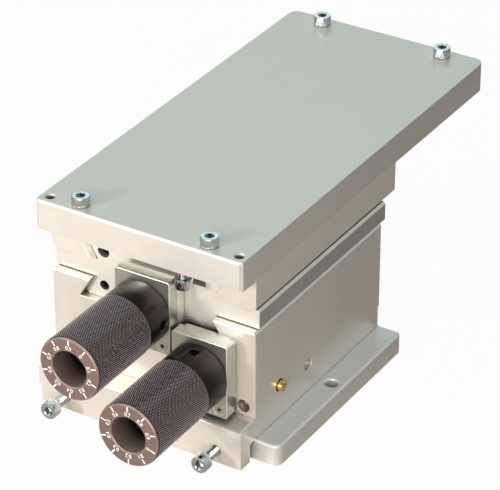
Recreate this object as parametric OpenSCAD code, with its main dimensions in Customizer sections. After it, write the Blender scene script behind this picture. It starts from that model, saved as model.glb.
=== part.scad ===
// Two-stage dovetail positioning table with two graduated spindle knobs.
// Origin: middle of the body on the surface it stands on. -Y is the knob side, +Z is up.

/* [Body] */
// Width of the body, across the slides
body_w = 110; // [106:1:130]
// Length of the base block, along the slides
block_l = 115; // [112:1:140]
// Height of the base block
block_h = 46; // [44:1:60]
// Chamfer along the upper side edges of the block and the saddle
edge_chamfer = 1.2; // [1.1:0.1:1.8]
// Chamfer along the upper front edge of the block
front_chamfer = 0.9; // [0.3:0.1:1]
// Chamfer along the two upright front edges of the block
upright_chamfer = 0.7; // [0.3:0.1:0.8]

/* [Base plate] */
// Thickness of the base plate
base_plate_t = 10.8; // [10:0.2:14]
// How far the fixing flange stands out on the right
flange_w = 12.6; // [12.2:0.2:20]
// Radius of the flange's front corner
flange_front_r = 4; // [2:0.5:8]
// Radius of the flange's rear corner
flange_rear_r = 2.5; // [2:0.5:8]
// Chamfer along the flange's upper edges
flange_bevel = 0.9; // [0.3:0.1:1.2]
// Diameter of the fixing hole in the flange
flange_hole_d = 6.6; // [4:0.2:7]
// Distance of the fixing hole from the flange's outer edge
flange_hole_inset = 6.4; // [6:0.2:7]
// Distance of the fixing hole behind the table's middle
flange_hole_back = 1.5; // [0:0.5:10]
// Chamfer round the mouth of the fixing hole
flange_hole_chamfer = 0.6; // [0.3:0.1:0.8]

/* [Carrier] */
// Thickness of the carrier plate
carrier_t = 11.2; // [8:0.2:14]
// How far the carrier's front bar stands out ahead of the block
bar_out = 12.4; // [11:0.2:18]
// How far the carrier stops short of the block's rear
rear_inset = 1; // [0:0.2:4]
// Thickness of the lip that hangs down in front of the base plate
lip_t = 8.2; // [6:0.2:9]
// Fillet in the corner between the lip and the plate above it
lip_fillet = 1.6; // [0.5:0.1:3]
// Gap between the lip and the surface below
lip_ground_gap = 1; // [0.5:0.1:3]
// Step of the carrier's left end over the lip
bar_left_step = 1.4; // [0.5:0.1:2]
// Distance between the two long screws in the lip
jack_screw_spacing = 83; // [60:1:90]
// Height of the long screws above the surface
jack_screw_z = 7.6; // [6:0.1:8.5]
// Free length of the long screws between head and lip
jack_screw_free_l = 9.4; // [4:0.2:14]

/* [Dovetails] */
// Flank angle of both dovetails, from upright
dovetail_angle = 30; // [26:1:34]
// Width of both dovetails at their narrow root
dovetail_root_w = 64; // [60:1:66]
// Height of both dovetails
dovetail_h = 10.5; // [9.5:0.1:11.5]
// Thickness of the gib strips
gib_t = 1.6; // [1.2:0.1:2.2]
// Running clearance on the ways
way_clear = 0.05; // [0.03:0.01:0.08]
// Gap between the lands that carry nothing
land_gap = 0.4; // [0.3:0.1:0.8]
// How far the lower gib's ends lie inside the block
gib_setback = 5; // [2:0.5:12]
// Number of adjusting screws on each gib
gib_screw_count = 4; // [2:1:5]
// Diameter of the gib adjusting screws
gib_screw_d = 4; // [3:0.5:5]

/* [Saddle] */
// Length of the saddle
saddle_l = 115; // [112:1:140]
// Thickness of the saddle between the dovetails
saddle_web = 9.6; // [8:0.2:14]
// Distance of the saddle's front behind the block's front, at rest
saddle_back = 3.7; // [3.5:0.1:6]
// Width of the pocket in the saddle's top front
front_pocket_w = 40; // [38:0.5:44]
// Distance of the pocket's middle to the right of the spindle
front_pocket_shift = 5.6; // [5:0.2:7]
// Depth of the pocket below the dovetail's top
front_pocket_depth = 7.4; // [6.8:0.1:8]
// Diameter of the upper hole in the saddle's front
upper_face_hole_d = 6.2; // [4:0.2:7]
// Diameter of the lower hole in the saddle's front
lower_face_hole_d = 5; // [3:0.2:5.6]
// Distance of the upper hole below the saddle's top
upper_face_hole_down = 5.8; // [5:0.1:6.4]
// Height of the lower hole above the saddle's underside
lower_face_hole_up = 6.7; // [5:0.1:8]
// Depth of the two holes in the saddle's front
face_hole_depth = 12; // [6:1:20]
// Distance of the two holes to the left of the table's middle
face_hole_x = 28.6; // [24:0.2:29]

/* [Slide] */
// Length of the top slide
slide_l = 127; // [120:1:150]
// Height of the top slide
slide_h = 16.6; // [15:0.2:20]
// Distance of the slide's front ahead of the saddle's front, at rest
slide_lead = 2.9; // [1:0.1:6]
// Chamfer along the slide's lower side edges
slide_chamfer = 2; // [0.5:0.1:3]

/* [Top plate] */
// Length of the top plate
plate_l = 229; // [200:1:260]
// Thickness of the top plate
plate_t = 15; // [12:0.5:20]
// Overhang of the top plate ahead of the slide
plate_over = 12.1; // [11:0.1:16]
// Radius of the plate's rear corners
plate_corner_r = 5; // [2:0.5:8]
// Chamfer of the plate's upper front edge
plate_chamfer = 0.9; // [0.3:0.1:1.2]
// Chamfer of the plate's two front corners
plate_corner_chamfer = 1.5; // [1.3:0.1:2.5]
// Distance between the cap screws across the plate
top_screw_spacing = 68.6; // [50:0.2:80]
// Distance of the cap screws from the plate's ends
top_screw_inset = 6.6; // [6:0.1:12]
// Distance of the two tapped corner holes from the plate's sides
corner_hole_side = 4.6; // [4.2:0.1:8]
// Distance of the two tapped corner holes from the plate's front
corner_hole_front = 5.8; // [4.6:0.1:9]
// Core diameter of the tapped corner holes
corner_hole_d = 4.2; // [3:0.1:5]
// Depth of the tapped corner holes
corner_hole_depth = 12; // [8:0.5:13]

/* [Travel] */
// Travel of the top slide to each side of rest
slide_travel = 25; // [10:1:25]
// Travel of the saddle towards the knobs
saddle_travel_front = 3.2; // [1:0.1:3.2]
// Travel of the saddle away from the knobs
saddle_travel_back = 12; // [4:0.5:14]

/* [Spindles] */
// Sideways place of the upper spindle
upper_axis_x = 1; // [0:0.2:2]
// Height of the upper spindle above the saddle's underside
upper_axis_h = 10.3; // [9.6:0.1:11]
// Sideways place of the lower spindle
lower_axis_x = 31.2; // [30.6:0.1:31.8]
// Height of the lower spindle above the block's underside
lower_axis_h = 22.2; // [20:0.1:23]
// Diameter of both spindles
spindle_d = 8; // [6:0.5:9]
// Radial clearance of each spindle in its bushes, nuts and bores
spindle_clear = 0.05; // [0.02:0.01:0.08]
// Outer diameter of the retaining collar on each spindle
spindle_collar_d = 15; // [12:0.5:15.4]
// Depth of each spindle's end in its far bore
spindle_end_l = 8; // [5:0.5:10]

/* [Knobs] */
// Diameter of the knurled part
knob_d = 32; // [28:0.5:33]
// Whole length of a knob
knob_l = 57.5; // [50:0.5:70]
// Diameter of the smooth collar
knob_collar_d = 31; // [26:0.5:31.4]
// Length of the smooth collar
knob_collar_l = 16; // [12:0.5:20]
// Diameter of the bore in the dial face
knob_bore_d = 18; // [12:0.5:20]
// Depth of the bore in the dial face, without its cone
knob_bore_depth = 16; // [10:1:24]
// Chamfer round the dial face
knob_edge = 0.9; // [0.3:0.1:1.5]
// Diameter of the set screw in the collar
set_screw_d = 5; // [4:0.5:6]
// Distance of the set screw from the knob's rear
set_screw_back = 6; // [5:0.5:9]
// How far the set screw lies below the collar's surface
set_screw_sunk = 1.4; // [0.5:0.1:3]
// Angle of the upper knob's set screw, from +X towards +Z
upper_set_angle = 0; // [-180:5:180]
// Angle of the lower knob's set screw, from +X towards +Z
lower_set_angle = 85; // [-180:5:180]

/* [Bearings] */
// Width of the bearing plates
bearing_w = 29.4; // [28:0.1:29.6]
// Height of the bearing plates
bearing_h = 38.5; // [36:0.5:39]
// Distance from a spindle up to the top of its bearing plate
bearing_up = 18.3; // [17.6:0.1:18.6]
// Thickness of the bearing plates
bearing_t = 7; // [6:0.2:9]
// Corner radius of the bearing plates
bearing_corner_r = 1.2; // [0.6:0.2:3]
// Corner radius of the spacer and the housing behind the plates
backing_corner_r = 3; // [1:0.2:4]
// How far the spacer and the housing lie inside the plates' outline
backing_inset = 0.5; // [0.3:0.1:0.8]
// Distance of the two lower corner screws from the plate's edges
bearing_screw_inset = 4.2; // [3.8:0.1:4.6]
// Thickness of the spacer behind the lower bearing plate
spacer_t = 2.5; // [2:0.1:3]
// Outer diameter of the bushes
bush_d = 12; // [11:0.5:13]
// Thickness of the bushes' rear flange and of the thrust washers
bush_flange_t = 1; // [0.8:0.1:1.4]
// Gap between a knob's rear and its bearing plate
knob_gap = 0.5; // [0.4:0.1:0.8]
// Depth of the bearing screws in the block
bearing_screw_depth = 7; // [5:0.5:9]
// Depth of the upper bearing screws in the housing
housing_bite = 4.6; // [3:0.1:4.8]
// Distance of the housing screws from the upper spindle, sideways
housing_screw_x = 10; // [9.4:0.1:10.4]
// Distance of the housing screws above the upper spindle
housing_screw_z = 6.2; // [5:0.1:7]
// Depth of the housing screws in the saddle
housing_screw_depth = 9; // [6:0.5:10]

/* [Nuts] */
// Length of the spindle nuts along the spindle
nut_l = 24; // [18:1:26]
// Width of the upper nut
upper_nut_w = 14; // [13:0.5:16]
// Width of the lower nut
lower_nut_w = 12; // [11:0.5:12.4]
// Depth of the nuts below their spindle
nut_below = 7; // [6:0.2:7.2]
// Width of the upper nut's flange
upper_flange_w = 22; // [20:0.5:24]
// Length of the nuts' flanges
nut_flange_l = 40; // [38:1:44]
// Thickness of the nuts' flanges
nut_flange_t = 5; // [4.6:0.1:5.6]
// Room left round a moving nut
nut_room = 0.6; // [0.4:0.1:0.8]
// Reach of the lower nut's flange to the left of its spindle
lower_flange_reach = 10; // [9:0.5:11]
// Distance of the lower nut's screws to the left of its spindle
lower_nut_screw_left = 4.4; // [4:0.1:5]
// Depth of the lower nut's screws in the saddle
nut_screw_depth = 9; // [7:0.5:10]

/* [Fasteners] */
// Shank diameter of the cap screws
cap_d = 5; // [4:0.5:6]
// Head diameter of the cap screws
cap_head_d = 8.5; // [7:0.5:9]
// Head height of the cap screws
cap_head_h = 5; // [4:0.5:6]
// Socket of the cap screws, across the flats
cap_socket = 4; // [3:0.5:5]
// Shank diameter of the small countersunk screws
small_d = 3; // [2.5:0.5:3.5]
// Head diameter of the small countersunk screws
small_head_d = 5.6; // [5:0.2:6.2]
// Shank diameter of the screws that hold base plate, carrier and block together
frame_screw_d = 6; // [5:0.5:8]
// Depth that the top cap screws stand in the plate
top_screw_depth = 11; // [6:0.5:11.5]
// Free length of the stop screw under the plate
stop_screw_free_l = 6; // [5.4:0.1:6.4]
// Distance of the frame screws from the block's sides
frame_screw_side = 15; // [13:0.5:20]
// Distance of the frame screws from the block's ends
frame_screw_end = 12.5; // [10:0.5:16]
// Depth of the frame screws in the block
frame_screw_up = 12; // [8:1:16]
// Distance of the plate bolts from the table's middle, sideways
plate_bolt_x = 24; // [20:1:26]
// Distance of the plate bolts from the slide's middle, along the slide
plate_bolt_y = 42; // [34:1:44]
// Depth of the plate bolts in the plate
plate_bolt_up = 9; // [6:0.5:10]
// Diameter of the recess round the clamp screws in the block's front
clamp_hole_d = 6.6; // [6:0.2:8]
// Depth of that recess
clamp_hole_depth = 9; // [7:0.5:12]
// How far the clamp screws' heads lie below the block's front
clamp_sunk = 5; // [2:0.5:5.5]
// Length of the clamp screws under their heads
clamp_screw_l = 9; // [8:0.5:9]
// Distance of the clamp screws from the block's sides
clamp_side = 6.4; // [5:0.1:7]
// Height of the clamp screws above the block's underside
clamp_up = 5.1; // [4:0.1:8]

/* [Brass screws] */
// Diameter of the brass screws in the right wall
brass_d = 5.2; // [4:0.2:5.6]
// Length of the brass screws' shanks in the block
brass_l = 4; // [3:0.5:5]
// Diameter of the recess round a brass screw
brass_recess_d = 6.4; // [6:0.1:6.8]
// Depth of that recess
brass_recess = 2.2; // [1:0.1:3]
// How far the front brass screw stands out of the wall
brass_proud = 2.6; // [0:0.1:4]
// Width and depth of the brass screws' slots
brass_slot = 0.9; // [0.6:0.1:1.2]
// Angle of the slots, from the table's length towards the top
brass_slot_angle = -57; // [-90:1:90]
// Distance of the front brass screw behind the block's front
brass_1_back = 21.6; // [21.4:0.2:30]
// Height of the front brass screw above the block's underside
brass_1_up = 6.6; // [4:0.1:9]
// Distance of the rear brass screw behind the block's front
brass_2_back = 47.4; // [40:0.5:60]
// Height of the rear brass screw above the block's underside
brass_2_up = 3.7; // [3.5:0.1:9]

/* [Hidden] */
$fn = 64;
fit = 0.02;
cut = 0.5;
tap_clear = 0.05;

body_half = body_w / 2;
block_front = -block_l / 2;
block_rear = block_l / 2;
carrier_z = base_plate_t;
block_z = carrier_z + carrier_t;
block_top = block_z + block_h;

flank = tan(dovetail_angle);
root_half = dovetail_root_w / 2;
wide_half = root_half + dovetail_h * flank;
web_z = block_top + land_gap;
web_top = web_z + saddle_web;
saddle_z = web_z - dovetail_h;
saddle_top = web_top + dovetail_h;
cavity_z = saddle_z - way_clear;
slide_z = web_top + land_gap;
slide_ceiling = saddle_top + way_clear;
slide_top = slide_z + slide_h;
plate_top = slide_top + plate_t;

saddle_front = block_front + saddle_back;
saddle_rear = saddle_front + saddle_l;
slide_front = saddle_front - slide_lead;
slide_rear = slide_front + slide_l;
plate_front = slide_front - plate_over;
plate_rear = plate_front + plate_l;

upper_axis_z = saddle_z + upper_axis_h;
lower_axis_z = block_z + lower_axis_h;
bearing_back = block_front - spacer_t;
bearing_front = bearing_back - bearing_t;
knob_rear = bearing_front - knob_gap;
knob_front = knob_rear - knob_l;
knob_web = 3;
knob_hub_l = knob_l - knob_bore_depth - knob_bore_d / 2 * flank - knob_web;
spindle_front = knob_rear - knob_hub_l;
washer_t = knob_gap - 2 * way_clear;
washer_d = bush_d + 2;
bush_flange_d = bush_d + 3;
collar_bore_d = spindle_collar_d + 1;
collar_front = bearing_back + bush_flange_t + way_clear;
collar_rear = saddle_front - 0.2;

upper_nut_y = (saddle_front + saddle_rear) / 2;
upper_slot_half = nut_l / 2 + slide_travel + nut_room;
upper_channel_half = nut_flange_l / 2 + slide_travel + nut_room;
lower_nut_y = 0;
lower_pocket_front = lower_nut_y - nut_flange_l / 2 - saddle_travel_front - nut_room;
lower_pocket_rear = lower_nut_y + nut_flange_l / 2 + saddle_travel_back + nut_room;
lower_flange_left = lower_axis_x - lower_flange_reach;
lower_nut_right = lower_axis_x + lower_nut_w / 2;
lower_nut_screw_x = lower_axis_x - lower_nut_screw_left;
nut_screw_reach = (nut_l + nut_flange_l) / 4;

front_pocket_mid = upper_axis_x + front_pocket_shift;
front_pocket_z = saddle_top - front_pocket_depth;
stop_x = upper_axis_x + bearing_w / 2 + cap_head_d / 2 + 0.5;
stop_y = plate_front + top_screw_inset;
stop_under_head = slide_top - stop_screw_free_l;
front_pocket_rear = stop_y + cap_head_d / 2 + slide_travel + 0.3;

recess_room = 0.9;
recess_rear = saddle_front + saddle_travel_back + nut_room;
recess_z = upper_axis_z + bearing_up - bearing_h - recess_room;

jack_z = jack_screw_z;
jack_head_y = block_front - bar_out - jack_screw_free_l;
lower_gib_z = (cavity_z + block_top) / 2;
upper_gib_z = (slide_z + slide_ceiling) / 2;
gib_room = 0.25;
brass_spots = [[block_front + brass_1_back, block_z + brass_1_up],
    [block_front + brass_2_back, block_z + brass_2_up]];
brass_tops = [brass_proud, -brass_recess];
clamp_x = body_half - clamp_side;
clamp_z = block_z + clamp_up;
clamp_d = small_d + 1;
frame_screw_x = body_half - frame_screw_side;
frame_screw_y = block_l / 2 - frame_screw_end;
frame_screw_room = 0.6;
block_wall = 0.5;
screw_end_room = 1;
housing_screw_l = saddle_front - bearing_back + housing_screw_depth;
nut_screw_d = cap_d - 1;
nut_screw_head_d = cap_head_d - 0.9;
bolt_head_d = cap_head_d + 0.9;

// Extrudes an XZ outline along Y from one place to another
module along_y(from, to) {
    translate([0, to, 0]) rotate([90, 0, 0]) linear_extrude(to - from) children();
}

// Extrudes a YZ outline along X from one place to another
module along_x(from, to) {
    translate([from, 0, 0]) rotate([90, 0, 90]) linear_extrude(to - from) children();
}

// Round bar along Y
module bar_y(d, x, z, from, to) {
    translate([x, to, z]) rotate([90, 0, 0]) cylinder(d = d, h = to - from);
}

// Revolves an outline of [radius, distance from the front] points about a line along Y
module turned_y(x, z, front) {
    translate([x, front, z]) rotate([-90, 0, 0]) rotate_extrude() children();
}

// Rectangle with round corners, about its middle
module round_rect(w, h, r) {
    square([w - 2 * r, h], center = true);
    square([w, h - 2 * r], center = true);
    for (sx = [-1, 1], sy = [-1, 1])
        translate([sx * (w / 2 - r), sy * (h / 2 - r)]) circle(r);
}

// Cap screw with its head above the origin and its shank below it
module cap_screw(d, head_d, head_h, length, socket) {
    bevel = head_d * 0.06;
    tip = d * 0.12;
    difference() {
        rotate_extrude() polygon([[0, -length], [d / 2 - tip, -length], [d / 2, -length + tip],
            [d / 2, 0], [head_d / 2 - bevel / 2, 0], [head_d / 2, bevel / 2],
            [head_d / 2, head_h - bevel], [head_d / 2 - bevel, head_h], [0, head_h]]);
        translate([0, 0, head_h * 0.45])
            cylinder(d = socket / cos(30), h = head_h, $fn = 6);
    }
}

// Countersunk screw with its flat head at the origin and its shank below it
module flat_screw(d, head_d, length, socket) {
    rim = 0.3;
    cone = (head_d - d) / 2;
    difference() {
        rotate_extrude() polygon([[0, -length], [d / 2, -length], [d / 2, -cone - rim],
            [head_d / 2, -rim], [head_d / 2, 0], [0, 0]]);
        translate([0, 0, -cone]) cylinder(d = socket / cos(30), h = cone + cut, $fn = 6);
    }
}

// Room for a countersunk screw, a little wider than the screw all round
module flat_screw_room(d, head_d, length, room) {
    cone = (head_d - d) / 2;
    rotate_extrude() polygon([[0, -length], [d / 2 + room, -length],
        [d / 2 + room, -cone - 0.3], [head_d / 2 + room, -0.3], [head_d / 2 + room, cut], [0, cut]]);
}

// Socket set screw from the origin down
module set_screw(d, length) {
    difference() {
        rotate_extrude() polygon([[0, -length], [d * 0.3, -length], [d / 2, -length + d * 0.2],
            [d / 2, -d * 0.08], [d * 0.42, 0], [0, 0]]);
        translate([0, 0, -d * 0.45]) cylinder(d = d * 0.5 / cos(30), h = d, $fn = 6);
    }
}

// Places its children at the middle of each gib screw
module along_gib(front, rear) {
    pitch = (rear - front) / gib_screw_count;
    for (i = [0 : gib_screw_count - 1]) translate([0, front + (i + 0.5) * pitch, 0]) children();
}

// Places its children at both corners of each row of a rectangle
module at_corners(dx, dy) {
    for (sx = [-1, 1], sy = [-1, 1]) translate([sx * dx, sy * dy, 0]) children();
}

// Horizontal offset of a flank that is moved square to itself
function flank_shift(normal) = normal / cos(dovetail_angle);

// Half-width of the lower dovetail at a height, with its flank moved out
function lower_half(z, normal) = root_half + flank_shift(normal) + (web_z - z) * flank;

// Half-width of the upper dovetail at a height, with its flank moved out
function upper_half(z, normal) = root_half + flank_shift(normal) + (z - web_top) * flank;

jaw_gib = gib_t + 2 * way_clear;

// Base plate

module base_plate() {
    color([0.74, 0.72, 0.68]) difference() {
        union() {
            linear_extrude(base_plate_t) square_end();
            flange();
        }
        translate([body_half + flange_w - flange_hole_inset, flange_hole_back, base_plate_t])
            flange_hole();
        at_corners(frame_screw_x, frame_screw_y) {
            translate([0, 0, -cut])
                cylinder(d = frame_screw_d + 2 * tap_clear, h = base_plate_t + 2 * cut);
            translate([0, 0, -cut])
                cylinder(d = frame_screw_d * 1.6 + frame_screw_room,
                    h = frame_screw_d + cut + frame_screw_room);
        }
    }
}

// Outline of the base plate below the block
module square_end() {
    translate([-body_half, block_front]) square([body_w - 2 * fit, block_l]);
}

// Flange with two rounded corners and a chamfered rim
module flange() {
    right = body_half + flange_w;
    c = flange_bevel;
    front_y = block_front + flange_front_r;
    rear_y = block_rear - flange_rear_r;
    rounded_post(right - flange_front_r, front_y, flange_front_r);
    rounded_post(right - flange_rear_r, rear_y, flange_rear_r);
    along_y(front_y, rear_y) polygon([[0, 0], [right, 0], [right, base_plate_t - c],
        [right - c, base_plate_t], [0, base_plate_t]]);
    along_x(0, right - flange_front_r) polygon([[block_front, 0], [0, 0], [0, base_plate_t],
        [block_front + c, base_plate_t], [block_front, base_plate_t - c]]);
    along_x(0, right - flange_rear_r) polygon([[block_rear, 0], [0, 0], [0, base_plate_t],
        [block_rear - c, base_plate_t], [block_rear, base_plate_t - c]]);
}

// Post of the given radius with a chamfered top
module rounded_post(x, y, r) {
    c = flange_bevel;
    translate([x, y, 0]) rotate_extrude() polygon([[0, 0], [r, 0], [r, base_plate_t - c],
        [r - c, base_plate_t], [0, base_plate_t]]);
}

// Fixing hole below the origin, with its chamfered mouth
module flange_hole() {
    r = flange_hole_d / 2;
    c = flange_hole_chamfer;
    rotate_extrude() polygon([[0, -base_plate_t - cut], [r, -base_plate_t - cut], [r, -c],
        [r + c, 0], [r + c, cut], [0, cut]]);
}

// Carrier plate with the front bar and its hanging lip

module carrier_plate() {
    front = block_front - bar_out;
    rear = block_rear - rear_inset;
    bevel = 0.8;
    end_bevel = 0.6;
    left = -body_half - bar_left_step;
    color([0.78, 0.75, 0.70]) difference() {
        along_x(left, body_half) {
            polygon([[front, lip_ground_gap], [front + lip_t, lip_ground_gap],
                [front + lip_t, carrier_z], [rear, carrier_z], [rear, block_z],
                [front + bevel, block_z], [front, block_z - bevel]]);
            translate([front + lip_t, carrier_z]) corner_fillet(lip_fillet);
        }
        translate([left - cut, front - cut, -cut])
            cube([bar_left_step + cut, bar_out + cut, carrier_z + cut]);
        translate([body_half, front + bar_out / 2 - cut, block_z]) rotate([0, 45, 0])
            cube([end_bevel * sqrt(2), bar_out + 2 * cut, end_bevel * sqrt(2)], center = true);
        for (sx = [-1, 1])
            bar_y(cap_d + 2 * tap_clear, sx * jack_screw_spacing / 2, jack_z, front - cut,
                front + lip_t + cut);
        at_corners(frame_screw_x, frame_screw_y) translate([0, 0, carrier_z - cut])
            cylinder(d = frame_screw_d + 2 * tap_clear, h = carrier_t + 2 * cut);
    }
}

// Fillet that fills the corner above and to the left of its reach
module corner_fillet(r) {
    difference() {
        translate([-fit, -r]) square([r + fit, r + fit]);
        translate([r, -r]) circle(r);
    }
}

// Base block with the lower dovetail way

module base_block_outline() {
    polygon([[-body_half, block_z], [body_half, block_z],
        [body_half, block_top - edge_chamfer], [body_half - edge_chamfer, block_top],
        [lower_half(block_top, way_clear), block_top],
        [lower_half(cavity_z, way_clear), cavity_z],
        [-lower_half(cavity_z, jaw_gib), cavity_z],
        [-lower_half(block_top, jaw_gib), block_top],
        [-body_half + edge_chamfer, block_top], [-body_half, block_top - edge_chamfer]]);
}

module base_block() {
    color([0.80, 0.77, 0.72]) difference() {
        along_y(block_front, block_rear) base_block_outline();
        front_edge_chamfer();
        upright_edge_chamfers();
        bearing_recess();
        lower_spindle_bores();
        block_screw_holes();
    }
}

// Chamfer along the front edge of both jaws
module front_edge_chamfer() {
    translate([0, block_front, block_top]) rotate([45, 0, 0])
        cube([body_w + 2 * cut, front_chamfer * sqrt(2), front_chamfer * sqrt(2)], center = true);
}

// Chamfers along the two upright front edges
module upright_edge_chamfers() {
    side = upright_chamfer * sqrt(2);
    for (sx = [-1, 1]) translate([sx * body_half, block_front, block_z + block_h / 2])
        rotate([0, 0, 45]) cube([side, side, block_h + 2 * cut], center = true);
}

// Recess that lets the upper bearing housing move back with the saddle
module bearing_recess() {
    w = bearing_w + 2 * recess_room;
    translate([upper_axis_x - w / 2, block_front - cut, recess_z])
        cube([w, recess_rear - block_front + cut, cavity_z - recess_z + cut]);
}

module lower_spindle_bores() {
    bar_y(collar_bore_d, lower_axis_x, lower_axis_z, block_front - cut, collar_rear + nut_room);
    bar_y(spindle_d + 1, lower_axis_x, lower_axis_z, block_front, lower_pocket_front + cut);
    bar_y(spindle_d + 2 * spindle_clear, lower_axis_x, lower_axis_z, lower_pocket_rear - cut,
        lower_pocket_rear + spindle_end_l + nut_room);
    body_left = lower_axis_x - lower_nut_w / 2 - nut_room;
    flange_left = lower_flange_left - nut_room;
    right = lower_nut_right + 0.3;
    body_z = lower_axis_z - nut_below - nut_room;
    flange_z = saddle_z - nut_flange_t - nut_room;
    along_y(lower_pocket_front, lower_pocket_rear) polygon([[body_left, body_z], [right, body_z],
        [right, cavity_z + way_clear], [flange_left, cavity_z + way_clear],
        [flange_left, flange_z], [body_left, flange_z]]);
}

module block_screw_holes() {
    at_corners(frame_screw_x, frame_screw_y) translate([0, 0, block_z - cut])
        cylinder(d = frame_screw_d + 2 * tap_clear, h = frame_screw_up + screw_end_room + cut);
    for (sx = [-1, 1]) {
        bar_y(clamp_hole_d, sx * clamp_x, clamp_z, block_front - cut,
            block_front + clamp_hole_depth);
        bar_y(clamp_d + 2 * tap_clear, sx * clamp_x, clamp_z, block_front,
            block_front + clamp_hole_depth + clamp_screw_l);
    }
    at_brass_screws() {
        translate([0, 0, -brass_recess]) cylinder(d = brass_recess_d, h = brass_recess + cut);
        translate([0, 0, -brass_recess - brass_l])
            cylinder(d = brass_d + 2 * fit, h = brass_l + cut);
    }
    along_gib(block_front, block_rear) translate([-body_half - cut, 0, lower_gib_z])
        rotate([0, 90, 0]) cylinder(d = gib_screw_d + 2 * tap_clear, h = body_half - root_half);
    at_plate_corners(lower_axis_x, lower_axis_z) flat_screw_room(small_d, small_head_d,
        bearing_t + spacer_t + bearing_screw_depth + screw_end_room, tap_clear);
}

module frame_screws() {
    head_h = frame_screw_d;
    length = base_plate_t - head_h - frame_screw_room + carrier_t + frame_screw_up;
    color([0.66, 0.67, 0.68]) at_corners(frame_screw_x, frame_screw_y)
        translate([0, 0, head_h + frame_screw_room]) rotate([180, 0, 0])
            cap_screw(frame_screw_d, frame_screw_d * 1.6, head_h, length, frame_screw_d * 0.8);
}

module jack_screws() {
    length = block_front - jack_head_y;
    color([0.80, 0.80, 0.81]) for (sx = [-1, 1])
        translate([sx * jack_screw_spacing / 2, jack_head_y, jack_z]) rotate([90, 0, 0])
            cap_screw(cap_d, cap_head_d, cap_head_h, length, cap_socket);
}

module clamp_screws() {
    head_d = clamp_hole_d - 0.3;
    color([0.78, 0.78, 0.80]) for (sx = [-1, 1])
        translate([sx * clamp_x, block_front + clamp_hole_depth, clamp_z]) rotate([90, 0, 0])
            cap_screw(clamp_d, head_d, clamp_hole_depth - clamp_sunk, clamp_screw_l, small_d);
}

// Places its children at the brass screws, with +Z out of the right wall
module at_brass_screws() {
    for (spot = brass_spots) translate([body_half, spot[0], spot[1]]) rotate([0, 90, 0]) children();
}

// Slotted screw, its shank from the origin down and its slot across its top
module slotted_screw(top) {
    r = brass_d / 2;
    edge = r * 0.15;
    low = -brass_recess - brass_l;
    difference() {
        rotate_extrude() polygon([[0, low], [r, low], [r, top - edge], [r - edge, top], [0, top]]);
        translate([0, 0, top]) rotate([0, 0, brass_slot_angle])
            cube([brass_slot, brass_d + cut, 2 * brass_slot], center = true);
    }
}

module brass_screws() {
    color([0.80, 0.62, 0.28]) for (i = [0, 1])
        translate([body_half, brass_spots[i][0], brass_spots[i][1]]) rotate([0, 90, 0])
            slotted_screw(brass_tops[i]);
}

// Gib strips and their screws

module lower_gib() {
    low = cavity_z + gib_room;
    high = block_top - gib_room;
    color([0.55, 0.53, 0.50]) along_y(block_front + gib_setback, block_rear - gib_setback)
        polygon([[-lower_half(low, way_clear), low], [-lower_half(high, way_clear), high],
            [-lower_half(high, way_clear + gib_t), high],
            [-lower_half(low, way_clear + gib_t), low]]);
}

module lower_gib_screws() {
    tip = -lower_half(lower_gib_z - gib_screw_d / 2, way_clear + gib_t) - tap_clear;
    color([0.30, 0.30, 0.32]) along_gib(block_front, block_rear)
        translate([-body_half + 1, 0, lower_gib_z]) rotate([0, -90, 0])
            set_screw(gib_screw_d, body_half - 1 + tip);
}

module upper_gib() {
    low = slide_z + gib_room;
    high = slide_ceiling - gib_room;
    color([0.72, 0.68, 0.62]) along_y(slide_front, slide_rear)
        polygon([[-upper_half(low, way_clear), low], [-upper_half(low, way_clear + gib_t), low],
            [-upper_half(high, way_clear + gib_t), high], [-upper_half(high, way_clear), high]]);
}

module upper_gib_screws() {
    tip = -upper_half(upper_gib_z + gib_screw_d / 2, way_clear + gib_t) - tap_clear;
    color([0.30, 0.30, 0.32]) along_gib(slide_front, slide_rear)
        translate([-body_half + 1, 0, upper_gib_z]) rotate([0, -90, 0])
            set_screw(gib_screw_d, body_half - 1 + tip);
}

// Bearings that carry the spindles

// Plate with round corners that stands across a spindle, its outline drawn in by the inset
module standing_plate(inset, r, x, z, from, to) {
    along_y(from, to) translate([x, z + bearing_up - bearing_h / 2])
        round_rect(bearing_w - 2 * inset, bearing_h - 2 * inset, r);
}

// Places its children, heads forward, at the two lower corners of a bearing plate
module at_plate_corners(x, z) {
    dx = bearing_w / 2 - bearing_screw_inset;
    low = z + bearing_up - bearing_h + bearing_screw_inset;
    for (sx = [-1, 1]) translate([x + sx * dx, bearing_front, low]) rotate([90, 0, 0]) children();
}

module lower_bearing_spacer() {
    color([0.60, 0.59, 0.52]) difference() {
        standing_plate(backing_inset, backing_corner_r, lower_axis_x, lower_axis_z,
            bearing_back, block_front);
        bar_y(collar_bore_d, lower_axis_x, lower_axis_z, bearing_back - cut, block_front + cut);
        at_plate_corners(lower_axis_x, lower_axis_z)
            flat_screw_room(small_d, small_head_d, bearing_t + spacer_t + cut, tap_clear);
    }
}

module lower_bearing_plate() {
    color([0.72, 0.70, 0.62]) difference() {
        standing_plate(0, bearing_corner_r, lower_axis_x, lower_axis_z, bearing_front,
            bearing_back);
        bar_y(bush_d, lower_axis_x, lower_axis_z, bearing_front - cut, bearing_back + cut);
        at_plate_corners(lower_axis_x, lower_axis_z)
            flat_screw_room(small_d, small_head_d, bearing_t + cut, tap_clear);
    }
}

module lower_bearing_screws() {
    color([0.74, 0.74, 0.74]) at_plate_corners(lower_axis_x, lower_axis_z)
        flat_screw(small_d, small_head_d, bearing_t + spacer_t + bearing_screw_depth,
            small_d * 0.66);
}

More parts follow.
